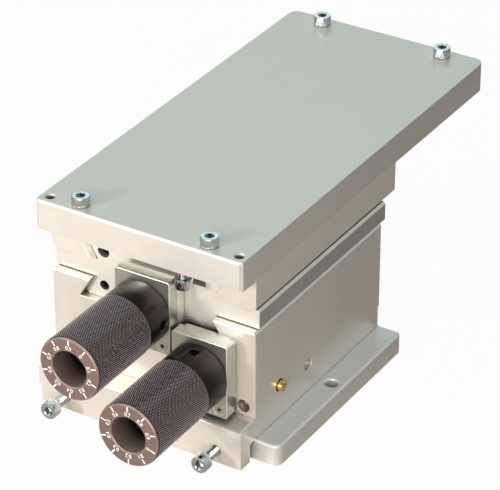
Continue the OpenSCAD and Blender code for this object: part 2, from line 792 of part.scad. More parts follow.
// Flanged bush, flange at the rear of its plate
module bush(x, z) {
    bore = spindle_d / 2 + spindle_clear;
    color([0.76, 0.60, 0.32]) turned_y(x, z, bearing_front)
        polygon([[bore, 0], [bush_d / 2 - fit, 0], [bush_d / 2 - fit, bearing_t],
            [bush_flange_d / 2, bearing_t], [bush_flange_d / 2, bearing_t + bush_flange_t],
            [bore, bearing_t + bush_flange_t]]);
}

module lower_bush() {
    bush(lower_axis_x, lower_axis_z);
}

module upper_bush() {
    bush(upper_axis_x, upper_axis_z);
}

module upper_bearing_housing() {
    color([0.76, 0.74, 0.69]) difference() {
        standing_plate(backing_inset, backing_corner_r, upper_axis_x, upper_axis_z,
            bearing_back, saddle_front);
        bar_y(collar_bore_d, upper_axis_x, upper_axis_z, bearing_back - cut, saddle_front + cut);
        at_plate_corners(upper_axis_x, upper_axis_z)
            flat_screw_room(small_d, small_head_d, bearing_t + housing_bite + block_wall, tap_clear);
        at_housing_screws() flat_screw_room(small_d, small_head_d, housing_screw_l + screw_end_room,
            tap_clear);
    }
}

// Places its children at the screws that hold the housing to the saddle
module at_housing_screws() {
    for (sx = [-1, 1]) translate([upper_axis_x + sx * housing_screw_x, bearing_back,
        upper_axis_z + housing_screw_z]) rotate([90, 0, 0]) children();
}

module housing_screws() {
    color([0.45, 0.45, 0.46]) at_housing_screws()
        flat_screw(small_d, small_head_d, housing_screw_l, small_d * 0.66);
}

module upper_bearing_plate() {
    color([0.72, 0.70, 0.62]) difference() {
        standing_plate(0, bearing_corner_r, upper_axis_x, upper_axis_z, bearing_front,
            bearing_back);
        bar_y(bush_d, upper_axis_x, upper_axis_z, bearing_front - cut, bearing_back + cut);
        at_plate_corners(upper_axis_x, upper_axis_z)
            flat_screw_room(small_d, small_head_d, bearing_t + cut, tap_clear);
    }
}

module upper_bearing_screws() {
    color([0.74, 0.74, 0.74]) at_plate_corners(upper_axis_x, upper_axis_z)
        flat_screw(small_d, small_head_d, bearing_t + housing_bite, small_d * 0.66);
}

// Spindles, their collars and washers, and the knobs

module spindle(x, z, rear) {
    length = rear - spindle_front;
    tip = spindle_d * 0.1;
    color([0.70, 0.70, 0.70]) turned_y(x, z, spindle_front)
        polygon([[0, 0], [spindle_d / 2, 0], [spindle_d / 2, length - tip],
            [spindle_d / 2 - tip, length], [0, length]]);
}

module retaining_collar(x, z) {
    length = collar_rear - collar_front;
    color([0.50, 0.50, 0.52]) turned_y(x, z, collar_front)
        polygon([[spindle_d / 2 + fit, 0], [spindle_collar_d / 2 - 0.5, 0],
            [spindle_collar_d / 2, 0.5], [spindle_collar_d / 2, length],
            [spindle_d / 2 + fit, length]]);
}

module thrust_washer(x, z) {
    color([0.78, 0.63, 0.34]) turned_y(x, z, knob_rear + way_clear)
        polygon([[spindle_d / 2 + fit, 0], [washer_d / 2, 0], [washer_d / 2, washer_t],
            [spindle_d / 2 + fit, washer_t]]);
}

// Turned knob: knurled barrel, smooth collar, bored dial face, set-screw hole in the collar
module knob(x, z, set_angle) {
    r = knob_d / 2;
    collar_r = knob_collar_d / 2;
    bore_r = knob_bore_d / 2;
    barrel_l = knob_l - knob_collar_l;
    cone_l = bore_r * flank;
    hub = knob_l - knob_hub_l - fit;
    color([0.27, 0.22, 0.23]) difference() {
        turned_y(x, z, knob_front) polygon([[0, knob_bore_depth + cone_l],
            [bore_r, knob_bore_depth], [bore_r, 0.4], [bore_r + 0.4, 0], [r - knob_edge, 0],
            [r, knob_edge], [r, barrel_l - 0.3], [r - 0.3, barrel_l], [collar_r, barrel_l],
            [collar_r, knob_l - 0.6], [collar_r - 0.6, knob_l], [spindle_d / 2 + fit, knob_l],
            [spindle_d / 2 + fit, hub], [0, hub]]);
        in_collar(x, z, set_angle)
            cylinder(d = set_screw_d + 2 * fit, h = collar_r);
    }
}

// Places its children on a line that leaves the collar's middle towards an angle
module in_collar(x, z, set_angle) {
    translate([x, knob_rear - set_screw_back, z]) rotate([0, -set_angle, 0]) rotate([0, 90, 0])
        children();
}

module knob_set_screw(x, z, set_angle) {
    top = knob_collar_d / 2 - set_screw_sunk;
    color([0.20, 0.20, 0.21]) in_collar(x, z, set_angle) translate([0, 0, top])
        set_screw(set_screw_d, top - spindle_d / 2 - 0.3);
}

module lower_spindle() {
    spindle(lower_axis_x, lower_axis_z, lower_pocket_rear + spindle_end_l);
}

module lower_retaining_collar() {
    retaining_collar(lower_axis_x, lower_axis_z);
}

module lower_thrust_washer() {
    thrust_washer(lower_axis_x, lower_axis_z);
}

module lower_knob() {
    knob(lower_axis_x, lower_axis_z, lower_set_angle);
}

module lower_set_screw() {
    knob_set_screw(lower_axis_x, lower_axis_z, lower_set_angle);
}

module upper_spindle() {
    spindle(upper_axis_x, upper_axis_z, upper_nut_y + upper_slot_half + spindle_end_l);
}

module upper_retaining_collar() {
    retaining_collar(upper_axis_x, upper_axis_z);
}

module upper_thrust_washer() {
    thrust_washer(upper_axis_x, upper_axis_z);
}

module upper_knob() {
    knob(upper_axis_x, upper_axis_z, upper_set_angle);
}

module upper_set_screw() {
    knob_set_screw(upper_axis_x, upper_axis_z, upper_set_angle);
}

// Saddle between the two stages

module saddle_outline() {
    c = edge_chamfer;
    polygon([[-wide_half, saddle_z], [wide_half, saddle_z], [root_half, web_z],
        [body_half, web_z], [body_half, web_top - c], [body_half - c, web_top],
        [root_half, web_top], [wide_half, saddle_top], [-wide_half, saddle_top],
        [-root_half, web_top], [-body_half + c, web_top], [-body_half, web_top - c],
        [-body_half, web_z], [-root_half, web_z]]);
}

module saddle() {
    color([0.76, 0.73, 0.68]) difference() {
        along_y(saddle_front, saddle_rear) saddle_outline();
        front_pocket();
        upper_nut_slot();
        upper_spindle_bores();
        bar_y(upper_face_hole_d, -face_hole_x, saddle_top - upper_face_hole_down,
            saddle_front - cut, saddle_front + face_hole_depth);
        bar_y(lower_face_hole_d, -face_hole_x, saddle_z + lower_face_hole_up,
            saddle_front - cut, saddle_front + face_hole_depth);
        at_housing_screws() flat_screw_room(small_d, small_head_d, housing_screw_l + screw_end_room,
            tap_clear);
        for (sy = [-1, 1]) translate([lower_nut_screw_x, lower_nut_y + sy * nut_screw_reach,
            saddle_z - cut])
            cylinder(d = nut_screw_d + 2 * tap_clear, h = nut_screw_depth + screw_end_room + cut);
    }
}

// Pocket that the stop screw's head runs into
module front_pocket() {
    translate([front_pocket_mid - front_pocket_w / 2, saddle_front - cut, front_pocket_z])
        cube([front_pocket_w, front_pocket_rear - saddle_front + cut, front_pocket_depth + cut]);
}

// Slot for the upper nut, with a wider channel for its flange
module upper_nut_slot() {
    w = upper_nut_w + 2 * nut_room;
    flange_w = upper_flange_w + 2 * nut_room;
    bottom = upper_axis_z - nut_below - nut_room;
    channel_z = saddle_top - nut_flange_t - nut_room;
    translate([upper_axis_x - w / 2, upper_nut_y - upper_slot_half, bottom])
        cube([w, 2 * upper_slot_half, saddle_top - bottom + cut]);
    translate([upper_axis_x - flange_w / 2, upper_nut_y - upper_channel_half, channel_z])
        cube([flange_w, 2 * upper_channel_half, nut_flange_t + nut_room + cut]);
}

module upper_spindle_bores() {
    bar_y(spindle_d + 1, upper_axis_x, upper_axis_z, saddle_front - cut,
        upper_nut_y - upper_slot_half + cut);
    bar_y(spindle_d + 2 * spindle_clear, upper_axis_x, upper_axis_z,
        upper_nut_y + upper_slot_half - cut, upper_nut_y + upper_slot_half + spindle_end_l + nut_room);
}

// Nuts

module lower_nut() {
    body_left = lower_axis_x - lower_nut_w / 2;
    bottom = lower_axis_z - nut_below;
    flange_z = saddle_z - nut_flange_t;
    color([0.74, 0.60, 0.34]) difference() {
        union() {
            along_y(lower_nut_y - nut_l / 2, lower_nut_y + nut_l / 2)
                polygon([[body_left, bottom], [lower_nut_right, bottom],
                    [lower_nut_right, saddle_z], [body_left, saddle_z]]);
            translate([lower_flange_left, lower_nut_y - nut_flange_l / 2, flange_z])
                cube([lower_nut_right - lower_flange_left, nut_flange_l, nut_flange_t]);
        }
        bar_y(spindle_d + 2 * spindle_clear, lower_axis_x, lower_axis_z,
            lower_nut_y - nut_l / 2 - cut, lower_nut_y + nut_l / 2 + cut);
        at_lower_nut_screws() flat_screw_room(nut_screw_d, nut_screw_head_d, nut_flange_t + cut,
            tap_clear);
    }
}

// Places its children, heads down, at the screws that hold the lower nut
module at_lower_nut_screws() {
    for (sy = [-1, 1]) translate([lower_nut_screw_x, lower_nut_y + sy * nut_screw_reach,
        saddle_z - nut_flange_t]) rotate([180, 0, 0]) children();
}

module lower_nut_screws() {
    color([0.60, 0.60, 0.62]) at_lower_nut_screws()
        flat_screw(nut_screw_d, nut_screw_head_d, nut_flange_t + nut_screw_depth, cap_socket * 0.6);
}

module upper_nut() {
    bottom = upper_axis_z - nut_below;
    flange_z = slide_ceiling - nut_flange_t;
    color([0.74, 0.60, 0.34]) difference() {
        union() {
            translate([upper_axis_x - upper_nut_w / 2, upper_nut_y - nut_l / 2, bottom])
                cube([upper_nut_w, nut_l, slide_ceiling - bottom]);
            translate([upper_axis_x - upper_flange_w / 2, upper_nut_y - nut_flange_l / 2, flange_z])
                cube([upper_flange_w, nut_flange_l, nut_flange_t]);
        }
        bar_y(spindle_d + 2 * spindle_clear, upper_axis_x, upper_axis_z,
            upper_nut_y - nut_l / 2 - cut, upper_nut_y + nut_l / 2 + cut);
        at_upper_nut_screws() flat_screw_room(nut_screw_d, nut_screw_head_d,
            slide_top - flange_z + cut, tap_clear);
    }
}

// Places its children, heads up, at the screws that hold the upper nut
module at_upper_nut_screws() {
    for (sx = [-1, 1], sy = [-1, 1])
        translate([upper_axis_x + sx * upper_flange_w / 4, upper_nut_y + sy * nut_screw_reach,
            slide_top]) children();
}

module upper_nut_screws() {
    length = slide_top - slide_ceiling + nut_flange_t - 0.4;
    color([0.60, 0.60, 0.62]) at_upper_nut_screws()
        flat_screw(nut_screw_d, nut_screw_head_d, length, cap_socket * 0.6);
}

// Top slide and top plate

module top_slide_outline() {
    c = slide_chamfer;
    polygon([[body_half - c, slide_z], [body_half, slide_z + c], [body_half, slide_top],
        [-body_half, slide_top], [-body_half, slide_z + c], [-body_half + c, slide_z],
        [-upper_half(slide_z, jaw_gib), slide_z],
        [-upper_half(slide_ceiling, jaw_gib), slide_ceiling],
        [upper_half(slide_ceiling, way_clear), slide_ceiling],
        [upper_half(slide_z, way_clear), slide_z]]);
}

module top_slide() {
    color([0.80, 0.77, 0.72]) difference() {
        along_y(slide_front, slide_rear) top_slide_outline();
        along_gib(slide_front, slide_rear) translate([-body_half - cut, 0, upper_gib_z])
            rotate([0, 90, 0]) cylinder(d = gib_screw_d + 2 * tap_clear, h = body_half - root_half);
        at_upper_nut_screws() flat_screw_room(nut_screw_d, nut_screw_head_d, slide_h, tap_clear);
        at_plate_bolts() flat_screw_room(cap_d, bolt_head_d, slide_h, tap_clear);
    }
}

// Places its children, heads down, at the screws that hold the plate to the slide
module at_plate_bolts() {
    translate([0, (slide_front + slide_rear) / 2, slide_ceiling]) rotate([180, 0, 0])
        at_corners(plate_bolt_x, plate_bolt_y) children();
}

module plate_bolts() {
    color([0.60, 0.60, 0.62]) at_plate_bolts()
        flat_screw(cap_d, bolt_head_d, slide_top - slide_ceiling + plate_bolt_up,
            cap_socket * 0.75);
}

module top_plate_outline() {
    r = plate_corner_r;
    c = plate_corner_chamfer;
    polygon([[-body_half + c, plate_front], [body_half - c, plate_front],
        [body_half, plate_front + c], [body_half, plate_rear - r], [-body_half, plate_rear - r],
        [-body_half, plate_front + c]]);
    translate([-body_half + r, plate_rear - 2 * r]) square([body_w - 2 * r, 2 * r]);
    for (sx = [-1, 1]) translate([sx * (body_half - r), plate_rear - r]) circle(r);
}

// Places its children at the cap screws on the plate
module at_top_screws() {
    for (sx = [-1, 1], y = [plate_front + top_screw_inset, plate_rear - top_screw_inset])
        translate([sx * top_screw_spacing / 2, y, plate_top]) children();
}

module top_plate() {
    color([0.70, 0.73, 0.70]) difference() {
        translate([0, 0, slide_top]) linear_extrude(plate_t) top_plate_outline();
        translate([0, plate_front, plate_top]) rotate([45, 0, 0])
            cube([body_w + 2 * cut, plate_chamfer * sqrt(2), plate_chamfer * sqrt(2)],
                center = true);
        at_top_screws() translate([0, 0, -top_screw_depth - 1])
            cylinder(d = cap_d + 2 * tap_clear, h = top_screw_depth + 1 + cut);
        for (sx = [-1, 1]) translate([sx * (body_half - corner_hole_side),
            plate_front + corner_hole_front, plate_top]) corner_hole();
        translate([stop_x, stop_y, slide_top - cut])
            cylinder(d = cap_d + 2 * tap_clear, h = plate_t / 2 + cut);
        at_plate_bolts() translate([0, 0, slide_ceiling - slide_top - plate_bolt_up - 1])
            cylinder(d = cap_d + 2 * tap_clear, h = plate_bolt_up + 1 + cut);
    }
}

// Tapped corner hole with its countersink
module corner_hole() {
    sink = 0.7;
    r = corner_hole_d / 2;
    rotate_extrude() polygon([[0, -corner_hole_depth - r * flank], [r, -corner_hole_depth],
        [r, -sink], [r + sink, 0], [r + sink, cut], [0, cut]]);
}

module top_cap_screws() {
    color([0.80, 0.80, 0.82]) at_top_screws()
        cap_screw(cap_d, cap_head_d, cap_head_h, top_screw_depth, cap_socket);
}

module stop_screw() {
    length = stop_screw_free_l + plate_t / 2 - 0.5;
    color([0.80, 0.80, 0.82]) translate([stop_x, stop_y, stop_under_head]) rotate([180, 0, 0])
        cap_screw(cap_d, cap_head_d, cap_head_h, length, cap_socket);
}

base_plate();
carrier_plate();
base_block();
frame_screws();
jack_screws();
clamp_screws();
brass_screws();
lower_gib();
lower_gib_screws();
lower_bearing_spacer();
lower_bearing_plate();
lower_bearing_screws();
lower_bush();
lower_spindle();
lower_retaining_collar();
lower_thrust_washer();
lower_knob();
lower_set_screw();
saddle();
lower_nut();
lower_nut_screws();
upper_bearing_housing();
housing_screws();
upper_bearing_plate();
upper_bearing_screws();
upper_bush();
upper_spindle();
upper_retaining_collar();
upper_thrust_washer();
upper_knob();
upper_set_screw();
top_slide();
upper_gib();
upper_gib_screws();
upper_nut();
upper_nut_screws();
plate_bolts();
top_plate();
top_cap_screws();
stop_screw();
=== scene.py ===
"""Looks of a two-stage dovetail positioning table.

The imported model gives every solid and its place. This script dresses those solids in metal
finishes, breaks their edges, and adds what is too fine for them: the knurled barrels and the
dials of the two knobs, and the threads of the screws that show.
"""

import logging
import math
from dataclasses import dataclass, replace
from enum import Enum
from functools import cache
from itertools import product

import bmesh
import bpy
from mathutils import Matrix, Vector


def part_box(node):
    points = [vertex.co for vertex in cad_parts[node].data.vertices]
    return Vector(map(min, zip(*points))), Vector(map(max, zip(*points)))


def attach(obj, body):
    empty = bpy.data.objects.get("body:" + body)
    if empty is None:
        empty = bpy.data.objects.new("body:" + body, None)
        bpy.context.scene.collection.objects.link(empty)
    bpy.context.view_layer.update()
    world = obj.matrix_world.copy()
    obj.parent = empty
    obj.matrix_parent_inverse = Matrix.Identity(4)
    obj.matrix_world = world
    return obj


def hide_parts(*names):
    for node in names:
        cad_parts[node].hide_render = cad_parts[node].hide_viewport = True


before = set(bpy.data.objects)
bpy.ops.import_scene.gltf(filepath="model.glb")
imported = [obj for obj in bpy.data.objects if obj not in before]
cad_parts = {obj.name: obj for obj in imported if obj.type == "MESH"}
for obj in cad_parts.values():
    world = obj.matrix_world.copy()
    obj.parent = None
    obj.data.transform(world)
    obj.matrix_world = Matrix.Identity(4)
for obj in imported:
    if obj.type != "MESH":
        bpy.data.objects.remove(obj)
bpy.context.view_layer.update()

log = logging.getLogger("table")

MM = 0.001
TURN = 2.0 * math.pi

# Points nearer than this are one point; edges that bend more than this stay sharp.
WELD = 1e-7
SHARP = math.radians(32)

Point = tuple[float, float, float]
Colour = tuple[float, float, float]
Profile = list[tuple[float, float]]
Socket = bpy.types.NodeSocket


class Grain(Enum):
    """Which way a cutter or a belt has left its fine lines on a part."""

    ALONG_Y = (1.0, 0.03, 1.0)
    ALONG_Z = (1.0, 1.0, 0.03)
    TURNED = (1.0, 1.0, 1.0)


class Level(Enum):
    """The two stages, as their nodes are named."""

    LOWER = "lower"
    UPPER = "upper"


# Node trees


class Nodes:
    """Short words for filling the node tree of a group, a material or a world."""

    def __init__(self, tree: bpy.types.NodeTree) -> None:
        """Keeps the tree that gets the nodes."""
        self.tree = tree

    def feed(self, target: Socket, value: object) -> None:
        """Links an input to a socket, or sets it to a plain value.

        Args:
            target: the input.
            value: a socket, a number, a vector, or a colour without its alpha.
        """
        if isinstance(value, Socket):
            self.tree.links.new(value, target)
        elif target.type == "RGBA":
            target.default_value = (*value, 1.0)
        else:
            target.default_value = value

    def node(self, kind: str, inputs: dict[str | int, object] | None = None,
             **options: object) -> bpy.types.Node:
        """Adds a node.

        Args:
            kind: Blender's name of the node type, without ShaderNode in front.
            inputs: what feeds its inputs, by name or by place.
            options: its plain properties.

        Returns:
            The new node.
        """
        made = self.tree.nodes.new(f"ShaderNode{kind}")
        for key, value in options.items():
            setattr(made, key, value)
        for key, value in (inputs or {}).items():
            self.feed(made.inputs[key], value)
        return made

    def math(self, operation: str, *inputs: object, clamp: bool = False) -> Socket:
        """Adds a Math node, inputs in order, and gives its result; clamp keeps it in 0 to 1."""
        made = self.node("Math", dict(enumerate(inputs)), operation=operation, use_clamp=clamp)
        return made.outputs[0]

    def vector(self, operation: str, *inputs: object) -> Socket:
        """Adds a Vector Math node with its inputs in order and gives its vector or number."""
        made = self.node("VectorMath", dict(enumerate(inputs)), operation=operation)
        return made.outputs["Value" if operation in ("DOT_PRODUCT", "LENGTH") else "Vector"]

    def place(self) -> Socket:
        """Where a point of the piece lies, in metres."""
        return self.node("TexCoord").outputs["Object"]

    def noise(self, place: Socket, scale: Socket | float, detail: float) -> Socket:
        """Adds a noise, 0 to 1; scale is its waves per metre, detail the finer ones added."""
        made = self.node("TexNoise", {"Vector": place, "Scale": scale, "Detail": detail})
        return made.outputs["Fac"]

    def mix(self, factor: Socket, below: Socket | Colour, above: Socket | Colour) -> Socket:
        """Adds a colour mix.

        Args:
            factor: how much of the upper colour covers, 0 to 1.
            below: colour at factor 0.
            above: colour at factor 1.

        Returns:
            The mixed colour.
        """
        made = self.node("Mix", data_type="RGBA")
        first, second = [one for one in made.inputs if one.type == "RGBA"]
        for target, value in ((made.inputs["Factor"], factor), (first, below), (second, above)):
            self.feed(target, value)
        return next(one for one in made.outputs if one.type == "RGBA")

    def ramp(self, value: Socket, *stops: tuple[float, Colour]) -> Socket:
        """Adds a colour ramp.

        Args:
            value: where on the ramp.
            stops: place and colour of its two ends.

        Returns:
            The colour.
        """
        made = self.node("ValToRGB", {"Fac": value})
        for element, (place, colour) in zip(made.color_ramp.elements, stops):
            element.position = place
            element.color = (*colour, 1.0)
        return made.outputs["Color"]

    def group(self, key: str, inputs: dict[str, object]) -> bpy.types.NodeOutputs:
        """Places a node group with its own named inputs and gives its outputs."""
        return self.node("Group", inputs, node_tree=GROUPS[key]).outputs


class Group(Nodes):
    """A shader node group with named inputs and outputs."""

    def __init__(self, name: str, inputs: dict[str, float | Point]) -> None:
        """Starts a group.

        Args:
            name: name of the group.
            inputs: each input's default; a number makes a Float, three make a Vector.
        """
        super().__init__(bpy.data.node_groups.new(name, "ShaderNodeTree"))
        for label, default in inputs.items():
            kind = "NodeSocketFloat" if isinstance(default, float) else "NodeSocketVector"
            made = self.tree.interface.new_socket(label, in_out="INPUT", socket_type=kind)
            made.default_value = default
        self.inlet = self.tree.nodes.new("NodeGroupInput").outputs

    def give(self, **outputs: Socket) -> bpy.types.NodeTree:
        """Ends the group with its outputs.

        Args:
            outputs: what feeds each named output, all of them numbers.

        Returns:
            The group.
        """
        for label in outputs:
            self.tree.interface.new_socket(label, in_out="OUTPUT", socket_type="NodeSocketFloat")
        outlet = self.tree.nodes.new("NodeGroupOutput")
        for label, source in outputs.items():
            self.feed(outlet.inputs[label], source)
        return self.tree

    def hidden(self) -> Socket:
        """How much a point is shut in by what lies within the input Reach, 0 to 1."""
        near = self.node("AmbientOcclusion", {"Distance": self.inlet["Reach"]}, samples=6)
        return self.math("SUBTRACT", 1.0, near.outputs["AO"], clamp=True)


# Under the fine lines of a cut surface lie broad ones: how many of them there are to one fine
# line, and the shares of the broad and the fine in the whole.
BROAD_LINES = 0.12
BROAD_SHARE = 0.4
FINE_SHARE = 0.6


def tool_marks_group() -> bpy.types.NodeTree:
    """Fine lines left by cutting or grinding, with a broad uneven tone under them.

    Returns:
        Group with outputs Lines, for a bump, and Tone, for colour and roughness, both 0 to 1.
    """
    group = Group("tool_marks", {"Stretch": Grain.ALONG_Y.value, "Lines per Metre": 1600.0,
                                 "Blotch Size": 22.0})
    place, lines = group.place(), group.inlet["Lines per Metre"]
    stretched = group.vector("MULTIPLY", place, group.inlet["Stretch"])
    fine = group.noise(stretched, lines, detail=3.0)
    broad = group.noise(stretched, group.math("MULTIPLY", lines, BROAD_LINES), detail=2.0)
    blotch = group.noise(place, group.inlet["Blotch Size"], detail=3.0)
    under = group.math("MULTIPLY", broad, BROAD_SHARE)
    return group.give(Lines=group.math("MULTIPLY_ADD", fine, FINE_SHARE, under),
                      Tone=group.math("MULTIPLY_ADD", blotch, FINE_SHARE, under))


def turned_rings_group() -> bpy.types.NodeTree:
    """Fine rings round an axis along Y, as a lathe leaves them.

    Returns:
        Group with outputs Lines and Tone, both 0 to 1.
    """
    group = Group("turned_rings", {"Axis": (0.0, 0.0, 0.0), "Rings per Metre": 5000.0})
    place = group.place()
    moved = group.vector("SUBTRACT", place, group.inlet["Axis"])
    apart = group.node("SeparateXYZ", {0: moved}).outputs
    squares = group.math("ADD", group.math("MULTIPLY", apart["X"], apart["X"]),
                         group.math("MULTIPLY", apart["Z"], apart["Z"]))
    rings = group.node("CombineXYZ", {"X": group.math("SQRT", squares), "Y": apart["Y"]})
    return group.give(
        Lines=group.noise(rings.outputs[0], group.inlet["Rings per Metre"], detail=2.0),
        Tone=group.noise(place, scale=90.0, detail=2.0))


def edge_wear_and_highlight_group() -> bpy.types.NodeTree:
    """Mask of the edges that handling has rubbed bright, which also paints their highlight.

    Returns:
        Group with output Mask, 1 on a convex edge, broken up by noise.
    """
    gain, patch_spread, patch_least = 9.0, 1.2, 0.2
    group = Group("edge_wear_and_highlight", {"Radius": 0.0004, "Amount": 1.0})
    rounded = group.node("Bevel", {"Radius": group.inlet["Radius"]}, samples=4).outputs[0]
    flat = group.node("NewGeometry").outputs["Normal"]
    bend = group.math("SUBTRACT", 1.0, group.vector("DOT_PRODUCT", rounded, flat), clamp=True)
    patch = group.noise(group.place(), scale=260.0, detail=4.0)
    broken = group.math("MULTIPLY_ADD", patch, patch_spread, patch_least)
    strong = group.math("MULTIPLY", group.math("MULTIPLY", bend, gain), broken)
    return group.give(Mask=group.math("MULTIPLY", strong, group.inlet["Amount"], clamp=True))


def oil_and_shade_group() -> bpy.types.NodeTree:
    """Mask of the joints and corners where oil and dust collect and where shade falls: painted
    oil and painted shade.

    Returns:
        Group with output Mask, 1 deep in a joint.
    """
    falloff = 1.6
    group = Group("oil_and_shade_in_joints", {"Reach": 0.002, "Amount": 1.0})
    deep = group.math("POWER", group.hidden(), falloff)
    return group.give(Mask=group.math("MULTIPLY", deep, group.inlet["Amount"], clamp=True))


def hole_shade_group() -> bpy.types.NodeTree:
    """Mask of the painted shade inside holes and slots, which little light reaches.

    Returns:
        Group with output Mask, 0 on open faces and in plain corners, 1 inside a hole.
    """
    group = Group("hole_shade", {"Reach": 0.009, "Start": 0.58, "Full": 0.8})
    spread = group.node("MapRange", {"Value": group.hidden(), "From Min": group.inlet["Start"],
                                     "From Max": group.inlet["Full"]},
                        interpolation_type="SMOOTHSTEP")
    return group.give(Mask=spread.outputs["Result"])


def bore_shade_group() -> bpy.types.NodeTree:
    """Mask of how deep a point lies in a bore that opens to the front, for a painted shade.

    Returns:
        Group with output Mask, 0 at the mouth and 1 from the full depth on.
    """
    group = Group("depth", {"Mouth": 0.0, "Full Depth": 0.015})
    along = group.node("SeparateXYZ", {0: group.place()}).outputs["Y"]
    inside = group.math("SUBTRACT", along, group.inlet["Mouth"])
    return group.give(Mask=group.math("DIVIDE", inside, group.inlet["Full Depth"], clamp=True))


def side_shade_group() -> bpy.types.NodeTree:
    """Mask of the faces that look one way, which get a painted shade.

    Returns:
        Group with output Mask, 1 on those faces.
    """
    gain, least_cosine = 12.0, 0.9
    group = Group("side", {"Direction": (1.0, 0.0, 0.0)})
    normal = group.node("TexCoord").outputs["Normal"]
    cosine = group.vector("DOT_PRODUCT", normal, group.inlet["Direction"])
    return group.give(Mask=group.math("MULTIPLY_ADD", cosine, gain, -gain * least_cosine,
                                      clamp=True))


def tip_height_group() -> bpy.types.NodeTree:
    """Mask of how far a point of a knurl stands out from an axis along Y.

    Returns:
        Group with output Mask, 0 in the grooves and 1 on the tips.
    """
    across_axis = (1.0, 0.0, 1.0)
    group = Group("tip_height", {"Axis": (0.0, 0.0, 0.0), "Groove Radius": 0.0156,
                                 "Tip Radius": 0.016})
    moved = group.vector("SUBTRACT", group.place(), group.inlet["Axis"])
    radius = group.vector("LENGTH", group.vector("MULTIPLY", moved, across_axis))
    spread = group.node("MapRange", {"Value": radius, "From Min": group.inlet["Groove Radius"],
                                     "From Max": group.inlet["Tip Radius"]})
    return group.give(Mask=spread.outputs["Result"])


GROUPS = {
    "marks": tool_marks_group(),
    "tips": tip_height_group(),
    "rings": turned_rings_group(),
    "wear_and_highlight": edge_wear_and_highlight_group(),
    "oil_and_shade_in_joints": oil_and_shade_group(),
    "hole_shade": hole_shade_group(),
    "depth": bore_shade_group(),
    "side": side_shade_group(),
}


# Finishes


class Look(Nodes):
    """A material with its Principled shader."""

    def __init__(self, name: str) -> None:
        """Starts a material.

        Args:
            name: name of the material.
        """
        self.material = bpy.data.materials.new(name)
        self.material.use_nodes = True
        super().__init__(self.material.node_tree)

    def finish(self, inputs: dict[str, object]) -> bpy.types.Material:
        """Feeds the shader.

        Args:
            inputs: socket or plain value of each named input.

        Returns:
            The material.
        """
        shader = self.tree.nodes["Principled BSDF"]
        for key, value in inputs.items():
            self.feed(shader.inputs[key], value)
        return self.material


@dataclass(frozen=True)
class Metal:
    """A metal surface: colour, gloss, tool marks, worn edges with a painted highlight, painted
    shade inside holes, and oil with painted shade in joints.

    Lengths are in metres. Faces that look along side take a painted shade, a bore darkens from
    its mouth to a painted shade deep inside, and a turned part has its rings round axis.
    """

    name: str
    colour: Colour
    metallic: float = 1.0
    roughness: float = 0.35
    roughness_spread: float = 0.12
    least_roughness: float = 0.02
    tone_spread: float = 0.08
    grain: Grain = Grain.ALONG_Y
    lines_per_metre: float = 1600.0
    line_depth: float = 0.000004
    # Worn edges: partly rubbed metal, partly a painted highlight.
    worn_and_highlight_colour: Colour = (0.92, 0.91, 0.88)
    wear_and_highlight: float = 0.5
    wear_radius: float = 0.0004
    # Joints and corners: partly oil, partly painted shade.
    oil_and_shade_colour: Colour = (0.26, 0.16, 0.07)
    oil_and_shade: float = 0.7
    oil_and_shade_reach: float = 0.0008
    # Inside holes and slots: painted shade.
    hole_shade_colour: Colour | None = None
    hole_start: float = 0.7
    hole_full: float = 0.88
    hole_reach: float = 0.009
    # Faces that look along side: painted shade.
    side_shade_colour: Colour | None = None
    side: Point = (1.0, 0.0, 0.0)
    # Deep in a bore: painted shade.
    bore_shade_colour: Colour | None = None
    mouth: float = 0.0
    full_depth: float = 0.015
    axis: Point = (0.0, 0.0, 0.0)

    @cache
    def material(self) -> bpy.types.Material:
        """Builds the finish as a material, once.

        Returns:
            The material, with the Principled shader in the material itself.
        """
        look = Look(self.name)
        marks = self._marks(look)
        low = tuple(value * (1.0 - self.tone_spread) for value in self.colour)
        high = tuple(min(1.0, value * (1.0 + self.tone_spread)) for value in self.colour)
        colour = look.mix(marks["Tone"], low, high)
        # Painted shade on the faces that look along side and deep in a bore, worn edges with a
        # painted highlight, painted shade inside holes, and oil with painted shade in joints.
        layers = (
            ("side", {"Direction": self.side}, self.side_shade_colour),
            ("depth", {"Mouth": self.mouth, "Full Depth": self.full_depth}, self.bore_shade_colour),
            ("wear_and_highlight", {"Radius": self.wear_radius, "Amount": self.wear_and_highlight}, self.worn_and_highlight_colour),
            ("hole_shade", {"Reach": self.hole_reach, "Start": self.hole_start,
                        "Full": self.hole_full}, self.hole_shade_colour),
            ("oil_and_shade_in_joints", {"Reach": self.oil_and_shade_reach, "Amount": self.oil_and_shade}, self.oil_and_shade_colour),
        )
        for key, inputs, above in layers:
            if above is not None:
                colour = look.mix(look.group(key, inputs)["Mask"], colour, above)
        smooth = max(self.least_roughness, self.roughness - self.roughness_spread)
        rough = look.node("MapRange", {"Value": marks["Tone"], "To Min": smooth,
                                       "To Max": self.roughness + self.roughness_spread})
        bump = look.node("Bump", {"Distance": self.line_depth, "Height": marks["Lines"]})
        return look.finish({"Base Color": colour, "Metallic": self.metallic,
                            "Roughness": rough.outputs["Result"],
                            "Normal": bump.outputs["Normal"]})

    def _marks(self, look: Look) -> bpy.types.NodeOutputs:
        """Places the group that draws this metal's tool marks.

        Args:
            look: the material.

        Returns:
            The outputs Lines and Tone.
        """
        if self.grain is Grain.TURNED:
            return look.group("rings", {"Axis": self.axis,
                                        "Rings per Metre": self.lines_per_metre})
        return look.group("marks", {"Stretch": self.grain.value,
                                    "Lines per Metre": self.lines_per_metre})


